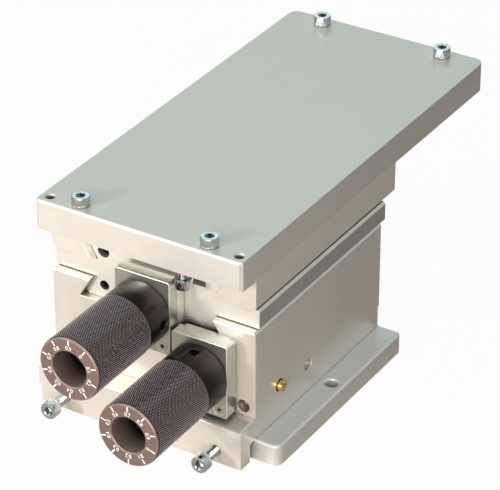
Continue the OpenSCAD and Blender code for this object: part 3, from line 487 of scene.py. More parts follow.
@dataclass(frozen=True)
class Knurl:
    """A knurled black surface: near black in the grooves, which is painted shade, and light on
    the tips, partly rubbed metal and partly a painted highlight.
    """

    name: str
    axis: Point
    groove_r: float
    tip_r: float
    groove_shade_colour: Colour = (0.012, 0.009, 0.010)
    tip_wear_and_highlight_colour: Colour = (1.0, 0.76, 0.80)
    tip_start: float = 0.34
    tip_full: float = 0.8
    metallic: float = 0.95
    roughness: float = 0.2

    def material(self) -> bpy.types.Material:
        """Builds the knurl as a material.

        Returns:
            The material.
        """
        look = Look(self.name)
        tips = look.group("tips", {"Axis": self.axis, "Groove Radius": self.groove_r,
                                   "Tip Radius": self.tip_r})
        colour = look.ramp(tips["Mask"], (self.tip_start, self.groove_shade_colour),
                           (self.tip_full, self.tip_wear_and_highlight_colour))
        return look.finish({"Base Color": colour, "Metallic": self.metallic,
                            "Roughness": self.roughness})


@dataclass(frozen=True)
class Paint:
    """A thin plain paint, such as the white filling of engraved marks."""

    name: str
    colour: Colour
    roughness: float = 0.5
    thin_share: float = 0.82
    thin_until: float = 0.3
    full_from: float = 0.6
    patches_per_metre: float = 1800.0

    @cache
    def material(self) -> bpy.types.Material:
        """Builds the paint as a material with a faint uneven cover, once.

        Returns:
            The material.
        """
        look = Look(self.name)
        cover = look.noise(look.place(), self.patches_per_metre, detail=2.0)
        thin = tuple(self.thin_share * value for value in self.colour)
        colour = look.ramp(cover, (self.thin_until, thin), (self.full_from, self.colour))
        return look.finish({"Base Color": colour, "Roughness": self.roughness})


# Shared by several metals: the dark and the less dark painted shade inside holes, the thin and
# the thick film of oil in joints, with painted shade there, and the way that the bevel under the
# slide's front looks, which takes the thin one as painted shade.
DEEP_HOLE_SHADE = (0.035, 0.03, 0.022)
SHADE = (0.13, 0.095, 0.05)
PALE_OIL_AND_SHADE = (0.52, 0.41, 0.27)
DARK_OIL_AND_SHADE = (0.42, 0.30, 0.15)
DOWN_FRONT = (0.0, -0.7071, -0.7071)

MILLED = Metal("milled_aluminium", (0.80, 0.77, 0.72), metallic=0.55, roughness=0.36,
               grain=Grain.ALONG_Z, wear_and_highlight=0.35, wear_radius=0.0003, oil_and_shade=1.0,
               oil_and_shade_colour=DARK_OIL_AND_SHADE, hole_shade_colour=SHADE, hole_start=0.58, hole_full=0.84)
SLAB = Metal("milled_plate", (0.84, 0.83, 0.81), metallic=0.55, roughness=0.36, wear_and_highlight=0.35,
             wear_radius=0.0003, oil_and_shade=0.5, oil_and_shade_colour=DARK_OIL_AND_SHADE)
# The bevel under the slide's front, looking down and forwards, takes a painted shade.
WAYS = Metal("machined_ways", (0.80, 0.775, 0.725), metallic=0.5, roughness=0.4, wear_and_highlight=0.35,
             oil_and_shade=3.0, oil_and_shade_colour=PALE_OIL_AND_SHADE, hole_shade_colour=SHADE, hole_start=0.5, hole_full=0.75,
             side_shade_colour=PALE_OIL_AND_SHADE, side=DOWN_FRONT)
# The saddle's faces that look to the right take a darker, bluer painted shade.
CARRIAGE = Metal("machined_saddle", (0.80, 0.775, 0.725), metallic=0.5, roughness=0.4,
                 wear_and_highlight=0.35, wear_radius=0.0003, oil_and_shade=1.3, oil_and_shade_colour=PALE_OIL_AND_SHADE,
                 hole_shade_colour=DEEP_HOLE_SHADE, hole_start=0.52, hole_full=0.75,
                 side_shade_colour=(0.46, 0.47, 0.44))
GROUND = Metal("ground_plate", (0.72, 0.70, 0.66), metallic=0.5, roughness=0.42,
               lines_per_metre=2400.0, line_depth=0.000002, wear_and_highlight=0.0, oil_and_shade=0.25,
               hole_shade_colour=DEEP_HOLE_SHADE)
# Near black in its joints and in the grooves of the screw heads' ribs: painted shade.
ZINC = Metal("bright_zinc", (0.62, 0.67, 0.69), roughness=0.14, roughness_spread=0.04,
             tone_spread=0.2, lines_per_metre=3000.0, line_depth=0.000002,
             wear_radius=0.0003, worn_and_highlight_colour=(0.97, 0.98, 0.98), oil_and_shade=3.0,
             oil_and_shade_colour=(0.03, 0.035, 0.04), oil_and_shade_reach=0.0006,
             hole_shade_colour=(0.24, 0.27, 0.28), hole_start=0.5, hole_full=0.85,
             hole_reach=0.004)
BEARING = Metal("plated_steel", (0.56, 0.56, 0.51), metallic=0.9, roughness=0.28,
                grain=Grain.ALONG_Z, wear_and_highlight=0.0, hole_shade_colour=DEEP_HOLE_SHADE)
# Near white on the bearing plates' broken edges: partly rubbed metal, partly a painted highlight.
RUBBED_AND_HIGHLIT = Metal("rubbed_and_highlit_edge", (0.97, 0.97, 0.96), metallic=0.5, roughness=0.3, oil_and_shade=0.3)
SEATED = Metal("seated_zinc", (0.82, 0.84, 0.84), roughness=0.2, wear_and_highlight=0.3, oil_and_shade=0.3)
DARK = Metal("dark_steel", (0.20, 0.19, 0.175), roughness=0.4, wear_and_highlight=0.3)
BAR = Metal("ground_bar", (0.66, 0.66, 0.65), roughness=0.25, wear_and_highlight=0.2)
STRIP = Metal("gib_strip", (0.82, 0.78, 0.71), metallic=0.5, roughness=0.4, wear_and_highlight=0.2,
              oil_and_shade=2.0, oil_and_shade_colour=PALE_OIL_AND_SHADE)
BRASS = Metal("turned_brass", (0.78, 0.55, 0.22), roughness=0.25, wear_and_highlight=0.3,
              worn_and_highlight_colour=(0.95, 0.80, 0.48))
BLACK_STEEL = Metal("blackened_steel", (0.05, 0.05, 0.053), roughness=0.4, wear_and_highlight=0.2,
                    worn_and_highlight_colour=(0.3, 0.3, 0.3))
FILLING = Paint("white_filling", (0.93, 0.92, 0.89))

# Each knob takes these with its own name in front and its own axis.
ANODISED = Metal("anodised", (0.235, 0.165, 0.152), metallic=0.6, roughness=0.42,
                 grain=Grain.TURNED, lines_per_metre=4200.0, line_depth=0.000003, wear_and_highlight=0.8,
                 worn_and_highlight_colour=(0.80, 0.66, 0.63), oil_and_shade=0.2)
COLLAR = Metal("collar_black", (0.020, 0.014, 0.011), metallic=0.95, roughness=0.36,
               tone_spread=0.3, grain=Grain.TURNED, wear_and_highlight=0.3, worn_and_highlight_colour=(0.4, 0.36, 0.34),
               oil_and_shade=0.2)
# The bore's wall darkens to near black deep inside, and its end is near black: painted shade.
BORE = Metal("bore", (0.46, 0.345, 0.315), metallic=0.5, roughness=0.34, tone_spread=0.3,
             grain=Grain.TURNED, lines_per_metre=2600.0, line_depth=0.00001, wear_and_highlight=0.0,
             oil_and_shade=0.0, bore_shade_colour=(0.010, 0.007, 0.006))
BORE_END_SHADE = Metal("shaded_bore_end", (0.008, 0.006, 0.005), metallic=0.9, roughness=0.5,
                 grain=Grain.TURNED, wear_and_highlight=0.0, oil_and_shade=0.0)


# Shapes


def linked(name: str, data: bpy.types.ID) -> bpy.types.Object:
    """Puts an object in the scene.

    Args:
        name: name of the object.
        data: its mesh, text, lamp or camera.

    Returns:
        The object.
    """
    made = bpy.data.objects.new(name, data)
    bpy.context.scene.collection.objects.link(made)
    return made


def new_piece(data: bpy.types.Mesh, body: str, finish: bpy.types.Material) -> bpy.types.Object:
    """Makes a mesh a piece of the table that rides on a body.

    Args:
        data: the mesh, which gives the piece its name.
        body: name of the CAD body that the piece moves with.
        finish: its material.

    Returns:
        The object.
    """
    data.materials.append(finish)
    made = linked(data.name, data)
    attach(made, body)
    log.info("piece %s: %d faces, rides on %s", data.name, len(data.polygons), body)
    return made


def polar(radius: float, angle: float, height: float) -> Vector:
    """Point at a radius, an angle and a height about the local Z axis."""
    return Vector((radius * math.cos(angle), radius * math.sin(angle), height))


def circle(radius: float, height: float, count: int) -> list[Vector]:
    """Points of a circle about the local Z axis."""
    return [polar(radius, TURN * k / count, height) for k in range(count)]


def hexagon(flats: float, height: float, count: int) -> list[Vector]:
    """Points spread over a hexagon about the local Z axis.

    Args:
        flats: distance across the flats.
        height: height of the points.
        count: number of points, a multiple of six.

    Returns:
        The points, at the same angles as those of a circle.
    """
    sixth = TURN / 6.0
    angles = [TURN * k / count for k in range(count)]
    return [polar(flats / 2.0 / math.cos((angle % sixth) - sixth / 2.0), angle, height)
            for angle in angles]


def facing(direction: Vector, place: Point) -> Matrix:
    """Matrix that turns local +Z to a direction and moves the origin to a place."""
    turn = Vector((0.0, 0.0, 1.0)).rotation_difference(direction).to_matrix().to_4x4()
    return Matrix.Translation(place) @ turn


def smooth_over(data: bpy.types.Mesh, sharp: float) -> None:
    """Shades a mesh smooth but for the edges that bend more than an angle."""
    data.polygons.foreach_set("use_smooth", [True] * len(data.polygons))
    data.set_sharp_from_angle(angle=sharp)


class Mesh:
    """Vertices and faces of one piece, collected in the frame's own place."""

    def __init__(self) -> None:
        """Starts an empty mesh."""
        self.points: list[Vector] = []
        self.faces: list[tuple[int, ...]] = []

    def ring(self, points: list[Vector]) -> list[int]:
        """Adds points.

        Args:
            points: places of the points.

        Returns:
            Their numbers.
        """
        first = len(self.points)
        self.points.extend(points)
        return list(range(first, first + len(points)))

    def band(self, one: list[int], other: list[int]) -> None:
        """Joins two closed rings of equal count with quads.

        Args:
            one: numbers of the first ring's points.
            other: numbers of the second ring's points.
        """
        count = len(one)
        for place in range(count):
            after = (place + 1) % count
            self.faces.append((one[place], one[after], other[after], other[place]))

    def bands(self, rings: list[list[Vector]]) -> list[list[int]]:
        """Adds rings of points and joins each with the next.

        Args:
            rings: the rings' points, of equal count.

        Returns:
            The numbers of each ring's points.
        """
        numbers = [self.ring(points) for points in rings]
        for one, other in zip(numbers, numbers[1:]):
            self.band(one, other)
        return numbers

    def fan(self, ring: list[int], height: float, flip: bool = False) -> None:
        """Closes a ring with triangles to a point on the local Z axis.

        Args:
            ring: numbers of the ring's points.
            height: height of the middle point.
            flip: turns the faces round.
        """
        centre = self.ring([Vector((0.0, 0.0, height))])[0]
        for place in range(len(ring)):
            after = (place + 1) % len(ring)
            pair = (ring[after], ring[place]) if flip else (ring[place], ring[after])
            self.faces.append((*pair, centre))

    def turn(self, profile: Profile, count: int) -> None:
        """Adds a body turned about the local Z axis.

        Args:
            profile: radius and height of each corner; a radius of 0 closes an end.
            count: number of points round.
        """
        rings = self.bands([circle(radius, height, count)
                            for radius, height in profile if radius > 0.0])
        if profile[0][0] == 0.0:
            self.fan(rings[0], profile[0][1], flip=True)
        if profile[-1][0] == 0.0:
            self.fan(rings[-1], profile[-1][1])

    def place(self, matrix: Matrix, start: int = 0) -> None:
        """Moves the points, from the one numbered start onwards, by a matrix."""
        for number in range(start, len(self.points)):
            self.points[number] = matrix @ self.points[number]

    def data(self, name: str, sharp: float = SHARP) -> bpy.types.Mesh:
        """Makes Blender's mesh: welded, its faces looking outwards, smooth but for its edges.

        Args:
            name: name of the mesh.
            sharp: edges that bend more than this stay sharp.

        Returns:
            The mesh.
        """
        made = bpy.data.meshes.new(name)
        made.from_pydata([tuple(point) for point in self.points], [], self.faces)
        joined = bmesh.new()
        joined.from_mesh(made)
        bmesh.ops.remove_doubles(joined, verts=joined.verts, dist=WELD)
        bmesh.ops.recalc_face_normals(joined, faces=joined.faces)
        joined.to_mesh(made)
        joined.free()
        smooth_over(made, sharp)
        return made


# Parts of the sub-assemblies


@dataclass(frozen=True)
class BrokenEdges:
    """Edges that a file has broken, made with modifiers alone."""

    width: float
    segments: int = 2
    sharp: float = math.radians(28)
    weld: float = 1e-6
    flat: float = math.radians(0.2)
    face_weight: int = 80

    def add(self, solid: bpy.types.Object) -> None:
        """Adds the modifiers.

        Args:
            solid: the CAD node's object.
        """
        solid.modifiers.new("weld", "WELD").merge_threshold = self.weld
        flat = solid.modifiers.new("flat", "DECIMATE")
        flat.decimate_type = "DISSOLVE"
        flat.angle_limit = self.flat
        bevel = solid.modifiers.new("edges", "BEVEL")
        bevel.width, bevel.segments = self.width, self.segments
        bevel.limit_method, bevel.angle_limit = "ANGLE", self.sharp
        bevel.use_clamp_overlap = False
        normal = solid.modifiers.new("normals", "WEIGHTED_NORMAL")
        normal.keep_sharp, normal.weight = False, self.face_weight


def dress(finish: Metal, *nodes: str, edge: float = 0.0, rim: Metal | None = None) -> None:
    """Gives CAD solids, which keep their shape, a finish and softly broken edges.

    Args:
        finish: the finish.
        nodes: names of the CAD nodes.
        edge: width of the broken edges; 0 leaves them sharp.
        rim: finish of the broken edges themselves, where they are rubbed bright and carry a
            painted highlight.
    """
    for name in nodes:
        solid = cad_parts[name]
        solid.data.materials.clear()
        solid.data.materials.append(finish.material())
        if edge > 0.0:
            BrokenEdges(edge).add(solid)
        if rim is not None:
            solid.data.materials.append(rim.material())
            solid.modifiers["edges"].material = 1
        log.info("solid %s: %s", name, finish.name)


@dataclass(frozen=True)
class CapScrews:
    """Cap screws of one size that show: ribbed head, hexagon socket, cut thread.

    They replace the CAD node and look along way. The shares are of the edge's width for how its
    rounding runs, of the shank's radius under the head, of the pitch for the depth of the
    thread, and of that depth for the cut at the screw's end.
    """

    node: str
    body: str
    way: Point
    shank_d: float = 5.0 * MM
    head_d: float = 8.5 * MM
    head_h: float = 5.0 * MM
    head_foot: float = 0.2 * MM
    head_edge: float = 0.55 * MM
    round_in_share: float = 0.35
    round_down_share: float = 0.3
    socket: float = 4.0 * MM
    socket_depth: float = 2.7 * MM
    socket_tip: float = 0.5 * MM
    mouth_r: float = 2.5 * MM
    mouth_depth: float = 0.35 * MM
    rib_depth: float = 0.14 * MM
    pitch: float = 0.8 * MM
    thread_share: float = 0.55
    flank_gain: float = 1.25
    crest_cut: float = 0.12
    point: float = 0.6 * MM
    point_share: float = 1.2
    steps_per_turn: int = 8
    under_head_share: float = 0.9
    sharp: float = math.radians(28)
    count: int = 72

    def build(self) -> None:
        """Builds one object that holds every screw of the set and replaces the CAD node."""
        mesh = Mesh()
        places, thread_length = self._measure()
        for place in places:
            start = len(mesh.points)
            self._head(mesh)
            self._thread(mesh, thread_length)
            mesh.place(facing(Vector(self.way), place), start)
        made = new_piece(mesh.data(f"{self.node}_threaded", self.sharp), self.body,
                         ZINC.material())
        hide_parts(self.node)

    def _measure(self) -> tuple[list[Point], float]:
        """Reads the screws off the CAD node's box, which they fill from corner to corner.

        Returns:
            Where the underside of each head lies, and the length of the thread.
        """
        radius, spans, length = self.head_d / 2.0, [], 0.0
        for step, low, high in zip(self.way, *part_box(self.node)):
            if step != 0.0:
                length = high - low - self.head_h
                spans.append([high - self.head_h if step > 0.0 else low + self.head_h])
            elif high - low < 2.0 * self.head_d:
                spans.append([(low + high) / 2.0])
            else:
                spans.append([low + radius, high - radius])
        return list(product(*spans)), length

    def _head(self, mesh: Mesh) -> None:
        """Adds a head, its underside at height 0.

        Args:
            mesh: the screws' mesh.
        """
        radius, top, edge = self.head_d / 2.0, self.head_h, self.head_edge
        round_in, round_down = edge * self.round_in_share, edge * self.round_down_share
        numbers = mesh.bands([
            circle(self.shank_d / 2.0 * self.under_head_share, 0.0, self.count),
            circle(radius - self.head_foot, 0.0, self.count),
            self._ribbed(radius, self.head_foot),
            self._ribbed(radius, top - edge),
            circle(radius - round_in, top - round_down, self.count),
            circle(radius - edge, top, self.count),
            circle(self.mouth_r, top, self.count),
            hexagon(self.socket, top - self.mouth_depth, self.count),
            hexagon(self.socket, top - self.socket_depth, self.count)])
        mesh.fan(numbers[-1], top - self.socket_depth - self.socket_tip)

    def _ribbed(self, radius: float, height: float) -> list[Vector]:
        """Places the points of a circle with every second one deeper, for a knurled side.

        Args:
            radius: radius over the ribs.
            height: height of the points.

        Returns:
            The points.
        """
        shrink = 1.0 - self.rib_depth / radius
        return [point if number % 2 else Vector((point.x * shrink, point.y * shrink, point.z))
                for number, point in enumerate(circle(radius, height, self.count))]

    def _thread(self, mesh: Mesh, length: float) -> None:
        """Adds the threaded shank below a head.

        Args:
            mesh: the screws' mesh.
            length: length of the thread.
        """
        depth, major = self.pitch * self.thread_share, self.shank_d / 2.0
        steps = round(length / self.pitch * self.steps_per_turn)
        rings = []
        for step in range(steps + 1):
            down = length * step / steps
            end = 1.0 - min(1.0, (length - down) / self.point)
            ring = []
            for k in range(self.count):
                phase = (down / self.pitch + k / self.count) % 1.0
                cut = abs(2.0 * phase - 1.0) * self.flank_gain - self.crest_cut
                radius = min(major - depth * max(0.0, min(1.0, cut)),
                             major - end * depth * self.point_share)
                ring.append(polar(radius, TURN * k / self.count, -down))
            rings.append(ring)
        mesh.fan(mesh.bands(rings)[-1], -length)


@dataclass
class DialKnob:
    """Turned knob with a knurled barrel and a dial of ten tenths on its bored face.

    The angles of the first mark and of the set screw are in degrees, from +X towards +Z. The
    marks and numbers are filled grooves: their filling stands a little proud of the dial.
    """

    name: str
    body: str
    first_mark: float
    set_angle: float
    marks: int = 10
    edge: float = 0.9 * MM
    bore_r: float = 9.0 * MM
    bore_edge: float = 0.4 * MM
    bore_depth: float = 16.0 * MM
    bore_cone: float = 5.2 * MM
    bore_wall: float = 3.0 * MM
    collar_r: float = 15.5 * MM
    collar_length: float = 16.0 * MM
    collar_edge: float = 0.6 * MM
    collar_round: float = 0.2 * MM
    collar_lap: float = 0.2 * MM
    spindle_r: float = 4.02 * MM
    knurl_pitch: float = 1.12 * MM
    knurl_depth: float = 0.4 * MM
    knurl_start: float = 0.05 * MM
    knurl_land: float = 0.15 * MM
    knurl_core: float = 0.25 * MM
    knurl_room: float = 0.01 * MM
    knurl_sharp: float = math.radians(12)
    tick_in: float = 12.25 * MM
    tick_out: float = 14.85 * MM
    tick_width: float = 0.64 * MM
    tick_round: float = 0.12 * MM
    tick_end_share: float = 0.7
    number_r: float = 10.8 * MM
    number_height: float = 2.75 * MM
    number_weight: float = 0.015 * MM
    number_spacing: float = 0.96
    number_steps: int = 3
    filling_lift: float = 0.03 * MM
    filling_depth: float = 0.05 * MM
    number_depth: float = 0.04 * MM
    set_screw_r: float = 2.52 * MM
    set_screw_back: float = 6.0 * MM
    drill_start: float = 5.0 * MM
    drill_length: float = 10.2 * MM
    drill_sink: float = 0.9 * MM
    drill_count: int = 40
    mark_room: float = 0.05 * MM
    count: int = 128

    def __post_init__(self) -> None:
        """Reads the knob's place and size off the CAD node's box."""
        low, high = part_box(self.name)
        self.axis = ((low[0] + high[0]) / 2.0, 0.0, (low[2] + high[2]) / 2.0)
        self.mouth, self.rear = low[1], high[1]
        self.front = self.mouth + self.mark_room
        self.radius = (high[0] - low[0]) / 2.0
        self.root = self.radius - self.knurl_depth
        self.barrel = self.rear - self.front - self.collar_length

    def build(self) -> None:
        """Builds the knob's pieces; the turned body replaces the CAD node."""
        made = self._turned_body()
        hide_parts(self.name)
        self._knurl()
        self._ticks()
        self._numbers()

    def _to_frame(self) -> Matrix:
        """Matrix from the knob's own place, +Z from the dial to the rear, to the frame."""
        return facing(Vector((0.0, 1.0, 0.0)), (self.axis[0], self.front, self.axis[2]))

    def _turned_body(self) -> bpy.types.Object:
        """Builds the dial face, the bore, the collar and the core under the knurl.

        Returns:
            The object.
        """
        face, collar, bore, shaded_bore_end = [
            replace(one, name=f"{self.name}_{one.name}", axis=self.axis, mouth=self.mouth)
            for one in (ANODISED, COLLAR, BORE, BORE_END_SHADE)]
        length, core = self.rear - self.front, self.root - self.knurl_core
        collar_start = self.barrel - self.collar_lap
        bore_tip = self.bore_depth + self.bore_cone
        mesh = Mesh()
        mesh.turn([(0.0, bore_tip), (self.bore_r, self.bore_depth),
                   (self.bore_r, self.bore_edge), (self.bore_r + self.bore_edge, 0.0),
                   (self.radius - self.edge, 0.0), (self.root, self.edge - self.knurl_depth),
                   (self.root, self.edge + self.knurl_land),
                   (core, self.edge + 2.0 * self.knurl_land), (core, collar_start),
                   (self.collar_r, collar_start), (self.collar_r, length - self.collar_edge),
                   (self.collar_r - self.collar_round, length - self.collar_round),
                   (self.collar_r - self.collar_edge, length), (self.spindle_r, length),
                   (self.spindle_r, bore_tip + self.bore_wall)], self.count)
        mesh.place(self._to_frame())
        made = new_piece(mesh.data(f"{self.name}_turned"), self.body, face.material())
        self._drill_set_screw_hole(made)
        for finish in (collar, bore, shaded_bore_end):
            made.data.materials.append(finish.material())
        near = self.collar_lap / 2.0
        for part in made.data.polygons:
            out = math.hypot(part.center.x - self.axis[0], part.center.z - self.axis[2])
            if part.center.y > self.front + collar_start - near:
                part.material_index = 1
            elif out < self.bore_r - near:
                part.material_index = 3
            elif out < self.bore_r + near:
                part.material_index = 2
        return made

    def _drill_set_screw_hole(self, made: bpy.types.Object) -> None:
        """Cuts the radial hole of the set screw through the collar's wall.

        Args:
            made: the turned body.
        """
        angle = math.radians(self.set_angle)
        out = Vector((math.cos(angle), 0.0, math.sin(angle)))
        middle = Vector((self.axis[0], self.rear - self.set_screw_back, self.axis[2]))
        top = self.drill_length + self.drill_sink
        drill = Mesh()
        drill.turn([(0.0, 0.0), (self.set_screw_r, 0.0), (self.set_screw_r, self.drill_length),
                    (self.set_screw_r + self.drill_sink, top), (0.0, top)], self.drill_count)
        drill.place(facing(out, tuple(middle + out * self.drill_start)))
        cutter = linked("drill", drill.data("drill"))
        cut = made.modifiers.new("set_screw_hole", "BOOLEAN")
        cut.operation, cut.solver, cut.object = "DIFFERENCE", "EXACT", cutter
        graph = bpy.context.evaluated_depsgraph_get()
        drilled = bpy.data.meshes.new_from_object(made.evaluated_get(graph))
        made.modifiers.clear()
        made.data = drilled
        drilled.name = made.name
        bpy.data.objects.remove(cutter)
        smooth_over(drilled, SHARP)

    def _knurl(self) -> None:
        """Builds the knurled sleeve: rows of small pyramids between crossing grooves."""
        start, stop = self.edge + self.knurl_start, self.barrel
        around = 2 * round(TURN * self.radius / self.knurl_pitch)
        last = 2 * round((stop - start) / self.knurl_pitch)
        tip = self.radius - self.knurl_room
        mesh = Mesh()
        rows = []
        for j in range(last + 1):
            height = start + (stop - start) * j / last
            peaks = 0 < j < last
            rows.append(mesh.ring([
                polar(tip if peaks and (i + j) % 2 else self.root, TURN * i / around, height)
                for i in range(around)]))
        for j in range(last + 1):
            for i in range((j + 1) % 2, around, 2):
                self._pyramid(mesh, rows, i, j)
        mesh.place(self._to_frame())
        knurl = Knurl(f"{self.name}_knurl_black", self.axis, self.root, self.radius)
        new_piece(mesh.data(f"{self.name}_knurl", self.knurl_sharp), self.body,
                  knurl.material())

    @staticmethod
    def _pyramid(mesh: Mesh, rows: list[list[int]], i: int, j: int) -> None:
        """Adds the four sides of one pyramid, or the half that an end row has.

        Args:
            mesh: the knurl's mesh.
            rows: numbers of the points, row by row.
            i: place of the tip round the barrel.
            j: row of the tip.
        """
        tip, around = rows[j][i], len(rows[j])
        left, right = rows[j][(i - 1) % around], rows[j][(i + 1) % around]
        if j > 0:
            below = rows[j - 1][i]
            mesh.faces += [(left, below, tip), (below, right, tip)]
        if j < len(rows) - 1:
            above = rows[j + 1][i]
            mesh.faces += [(right, above, tip), (above, left, tip)]

    def _spot(self, radius: float, angle: float, lift: float) -> Vector:
        """Point on the dial face, at an angle from +X towards +Z, lifted off the face."""
        return Vector((self.axis[0] + radius * math.cos(angle), self.front - lift,
                       self.axis[2] + radius * math.sin(angle)))

    def _mark_angles(self) -> list[float]:
        """Angles of the tenths on the dial, which run clockwise."""
        return [math.radians(self.first_mark - 360.0 / self.marks * tenth)
                for tenth in range(self.marks)]

    def _ticks(self) -> None:
        """Builds the ten marks as thin filled strokes with round ends."""
        mesh = Mesh()
        half = self.tick_width / 2.0
        end = half * self.tick_end_share
        outline = [(self.tick_in, end), (self.tick_in + self.tick_round, half),
                   (self.tick_out - self.tick_round, half), (self.tick_out, end)]
        down = Vector((0.0, self.filling_lift + self.filling_depth, 0.0))
        for angle in self._mark_angles():
            side = Vector((math.sin(angle), 0.0, -math.cos(angle)))
            right = [self._spot(r, angle, self.filling_lift) + side * w for r, w in outline]
            left = [self._spot(r, angle, self.filling_lift) - side * w
                    for r, w in reversed(outline)]
            top = mesh.ring(right + left)
            mesh.faces.append(tuple(top))
            mesh.band(top, mesh.ring([point + down for point in right + left]))
        new_piece(mesh.data(f"{self.name}_dial_ticks"), self.body, FILLING.material())

    def _numbers(self) -> None:
        """Builds the ten numbers, their tops towards the rim."""
        joined = bmesh.new()
        forward = Vector((0.0, -1.0, 0.0))
        for tenth, angle in enumerate(self._mark_angles()):
            shape = self._number_shape("0" if tenth == 0 else f"0.{tenth}")
            right = Vector((math.sin(angle), 0.0, -math.cos(angle)))
            up = Vector((math.cos(angle), 0.0, math.sin(angle)))
            turn = Matrix((right, up, forward)).transposed().to_4x4()
            shape.transform(Matrix.Translation(self._spot(self.number_r, angle, 0.0)) @ turn)
            joined.from_mesh(shape)
            bpy.data.meshes.remove(shape)
        data = bpy.data.meshes.new(f"{self.name}_dial_numbers")
        joined.to_mesh(data)
        joined.free()
        new_piece(data, self.body, FILLING.material())

    def _number_shape(self, words: str) -> bpy.types.Mesh:
        """Makes the flat mesh of a number, its middle at the origin.

        Args:
            words: the number as it is read.

        Returns:
            The mesh.
        """
        text = bpy.data.curves.new("number", "FONT")
        text.body, text.size = words, self.number_height
        text.align_x, text.align_y = "CENTER", "CENTER"
        text.extrude, text.offset = self.number_depth, self.number_weight
        text.resolution_u, text.space_character = self.number_steps, self.number_spacing
        holder = linked("number", text)
        graph = bpy.context.evaluated_depsgraph_get()
        graph.update()
        shape = bpy.data.meshes.new_from_object(holder.evaluated_get(graph))
        bpy.data.objects.remove(holder)
        return shape


# Sub-assemblies


@dataclass(frozen=True)
class FixedBody:
    """Base plate, carrier plate and block with its way, and what is screwed to them."""

    edge: float = 0.25 * MM
    bearing_edge: float = 0.3 * MM

    def build(self) -> None:
        """Dresses the solids and cuts the threads of the two long screws in the lip."""
        dress(MILLED, "carrier_plate", "base_block", edge=self.edge)
        dress(SLAB, "base_plate", edge=self.edge)
        dress(BEARING, "lower_bearing_plate", "lower_bearing_spacer", edge=self.bearing_edge,
              rim=RUBBED_AND_HIGHLIT)
        dress(BEARING, "lower_bearing_screws")
        dress(ZINC, "frame_screws")
        dress(SEATED, "clamp_screws")
        dress(STRIP, "lower_gib")
        dress(BLACK_STEEL, "lower_gib_screws")
        dress(BRASS, "brass_screws", "lower_bush")
        CapScrews("jack_screws", "base", way=(0.0, -1.0, 0.0)).build()


@dataclass(frozen=True)
class Saddle:
    """The saddle with its two ways, the lower nut and the upper spindle's bearing."""

    edge: float = 0.22 * MM
    housing_edge: float = 0.25 * MM
    bearing_edge: float = 0.3 * MM

    def build(self) -> None:
        """Dresses the solids."""
        dress(CARRIAGE, "saddle", edge=self.edge)
        dress(MILLED, "upper_bearing_housing", edge=self.housing_edge)
        dress(BEARING, "upper_bearing_plate", edge=self.bearing_edge, rim=RUBBED_AND_HIGHLIT)
        dress(BEARING, "upper_bearing_screws")
        dress(ZINC, "housing_screws", "lower_nut_screws")
        dress(BRASS, "upper_bush", "lower_nut")


@dataclass(frozen=True)
class TopSlide:
    """The top slide with the upper nut, and the long plate with its screws."""

    edge: float = 0.35 * MM
    plate_edge: float = 0.1 * MM

    def build(self) -> None:
        """Dresses the solids and cuts the threads of the screws in the plate."""
        dress(WAYS, "top_slide", edge=self.edge)
        dress(GROUND, "top_plate", edge=self.plate_edge)
        dress(ZINC, "upper_nut_screws", "plate_bolts")
        dress(STRIP, "upper_gib")
        dress(BLACK_STEEL, "upper_gib_screws")
        dress(BRASS, "upper_nut")
        CapScrews("top_cap_screws", "slide", way=(0.0, 0.0, 1.0)).build()
        CapScrews("stop_screw", "slide", way=(0.0, 0.0, -1.0)).build()


@dataclass(frozen=True)
class Spindle:
    """A stage's spindle with its collar, thrust washer, set screw and knob.

    The angles of the dial's first mark and of the set screw are in degrees.
    """

    level: Level
    first_mark: float
    set_angle: float

    def build(self) -> None:
        """Dresses the solids and builds the knob."""
        stage = self.level.value
        dress(BAR, f"{stage}_spindle")
        dress(DARK, f"{stage}_retaining_collar")
        dress(BRASS, f"{stage}_thrust_washer")
        dress(BLACK_STEEL, f"{stage}_set_screw")
        DialKnob(f"{stage}_knob", f"{stage}_screw", self.first_mark, self.set_angle).build()


# Studio


def outwards(azimuth: float, rise: float) -> Vector:
    """Direction from the table: an angle from the front to the right, and one above the floor."""
    return Vector((math.sin(azimuth) * math.cos(rise), -math.cos(azimuth) * math.cos(rise),
                   math.sin(rise)))


def aim(holder: bpy.types.Object, target: Point, out: Vector, away: float) -> None:
    """Places a lamp or the camera out from a target, so that it looks at it."""
    holder.location = Vector(target) + out * away
    holder.rotation_euler = out.to_track_quat("Z", "Y").to_euler()


@dataclass(frozen=True)
class Softbox:
    """A square lamp, in degrees to the left and up, metres away and across, and watts."""

    name: str
    left: float
    rise: float
    away: float
    side: float
    power: float
    colour: Colour

    def hang(self, target: Point) -> None:
        """Hangs the lamp.

        Args:
            target: what it faces.
        """
        data = bpy.data.lights.new(self.name, "AREA")
        data.shape, data.size = "SQUARE", self.side
        data.energy, data.color = self.power, self.colour
        out = outwards(-math.radians(self.left), math.radians(self.rise))
        aim(linked(self.name, data), target, out, self.away)


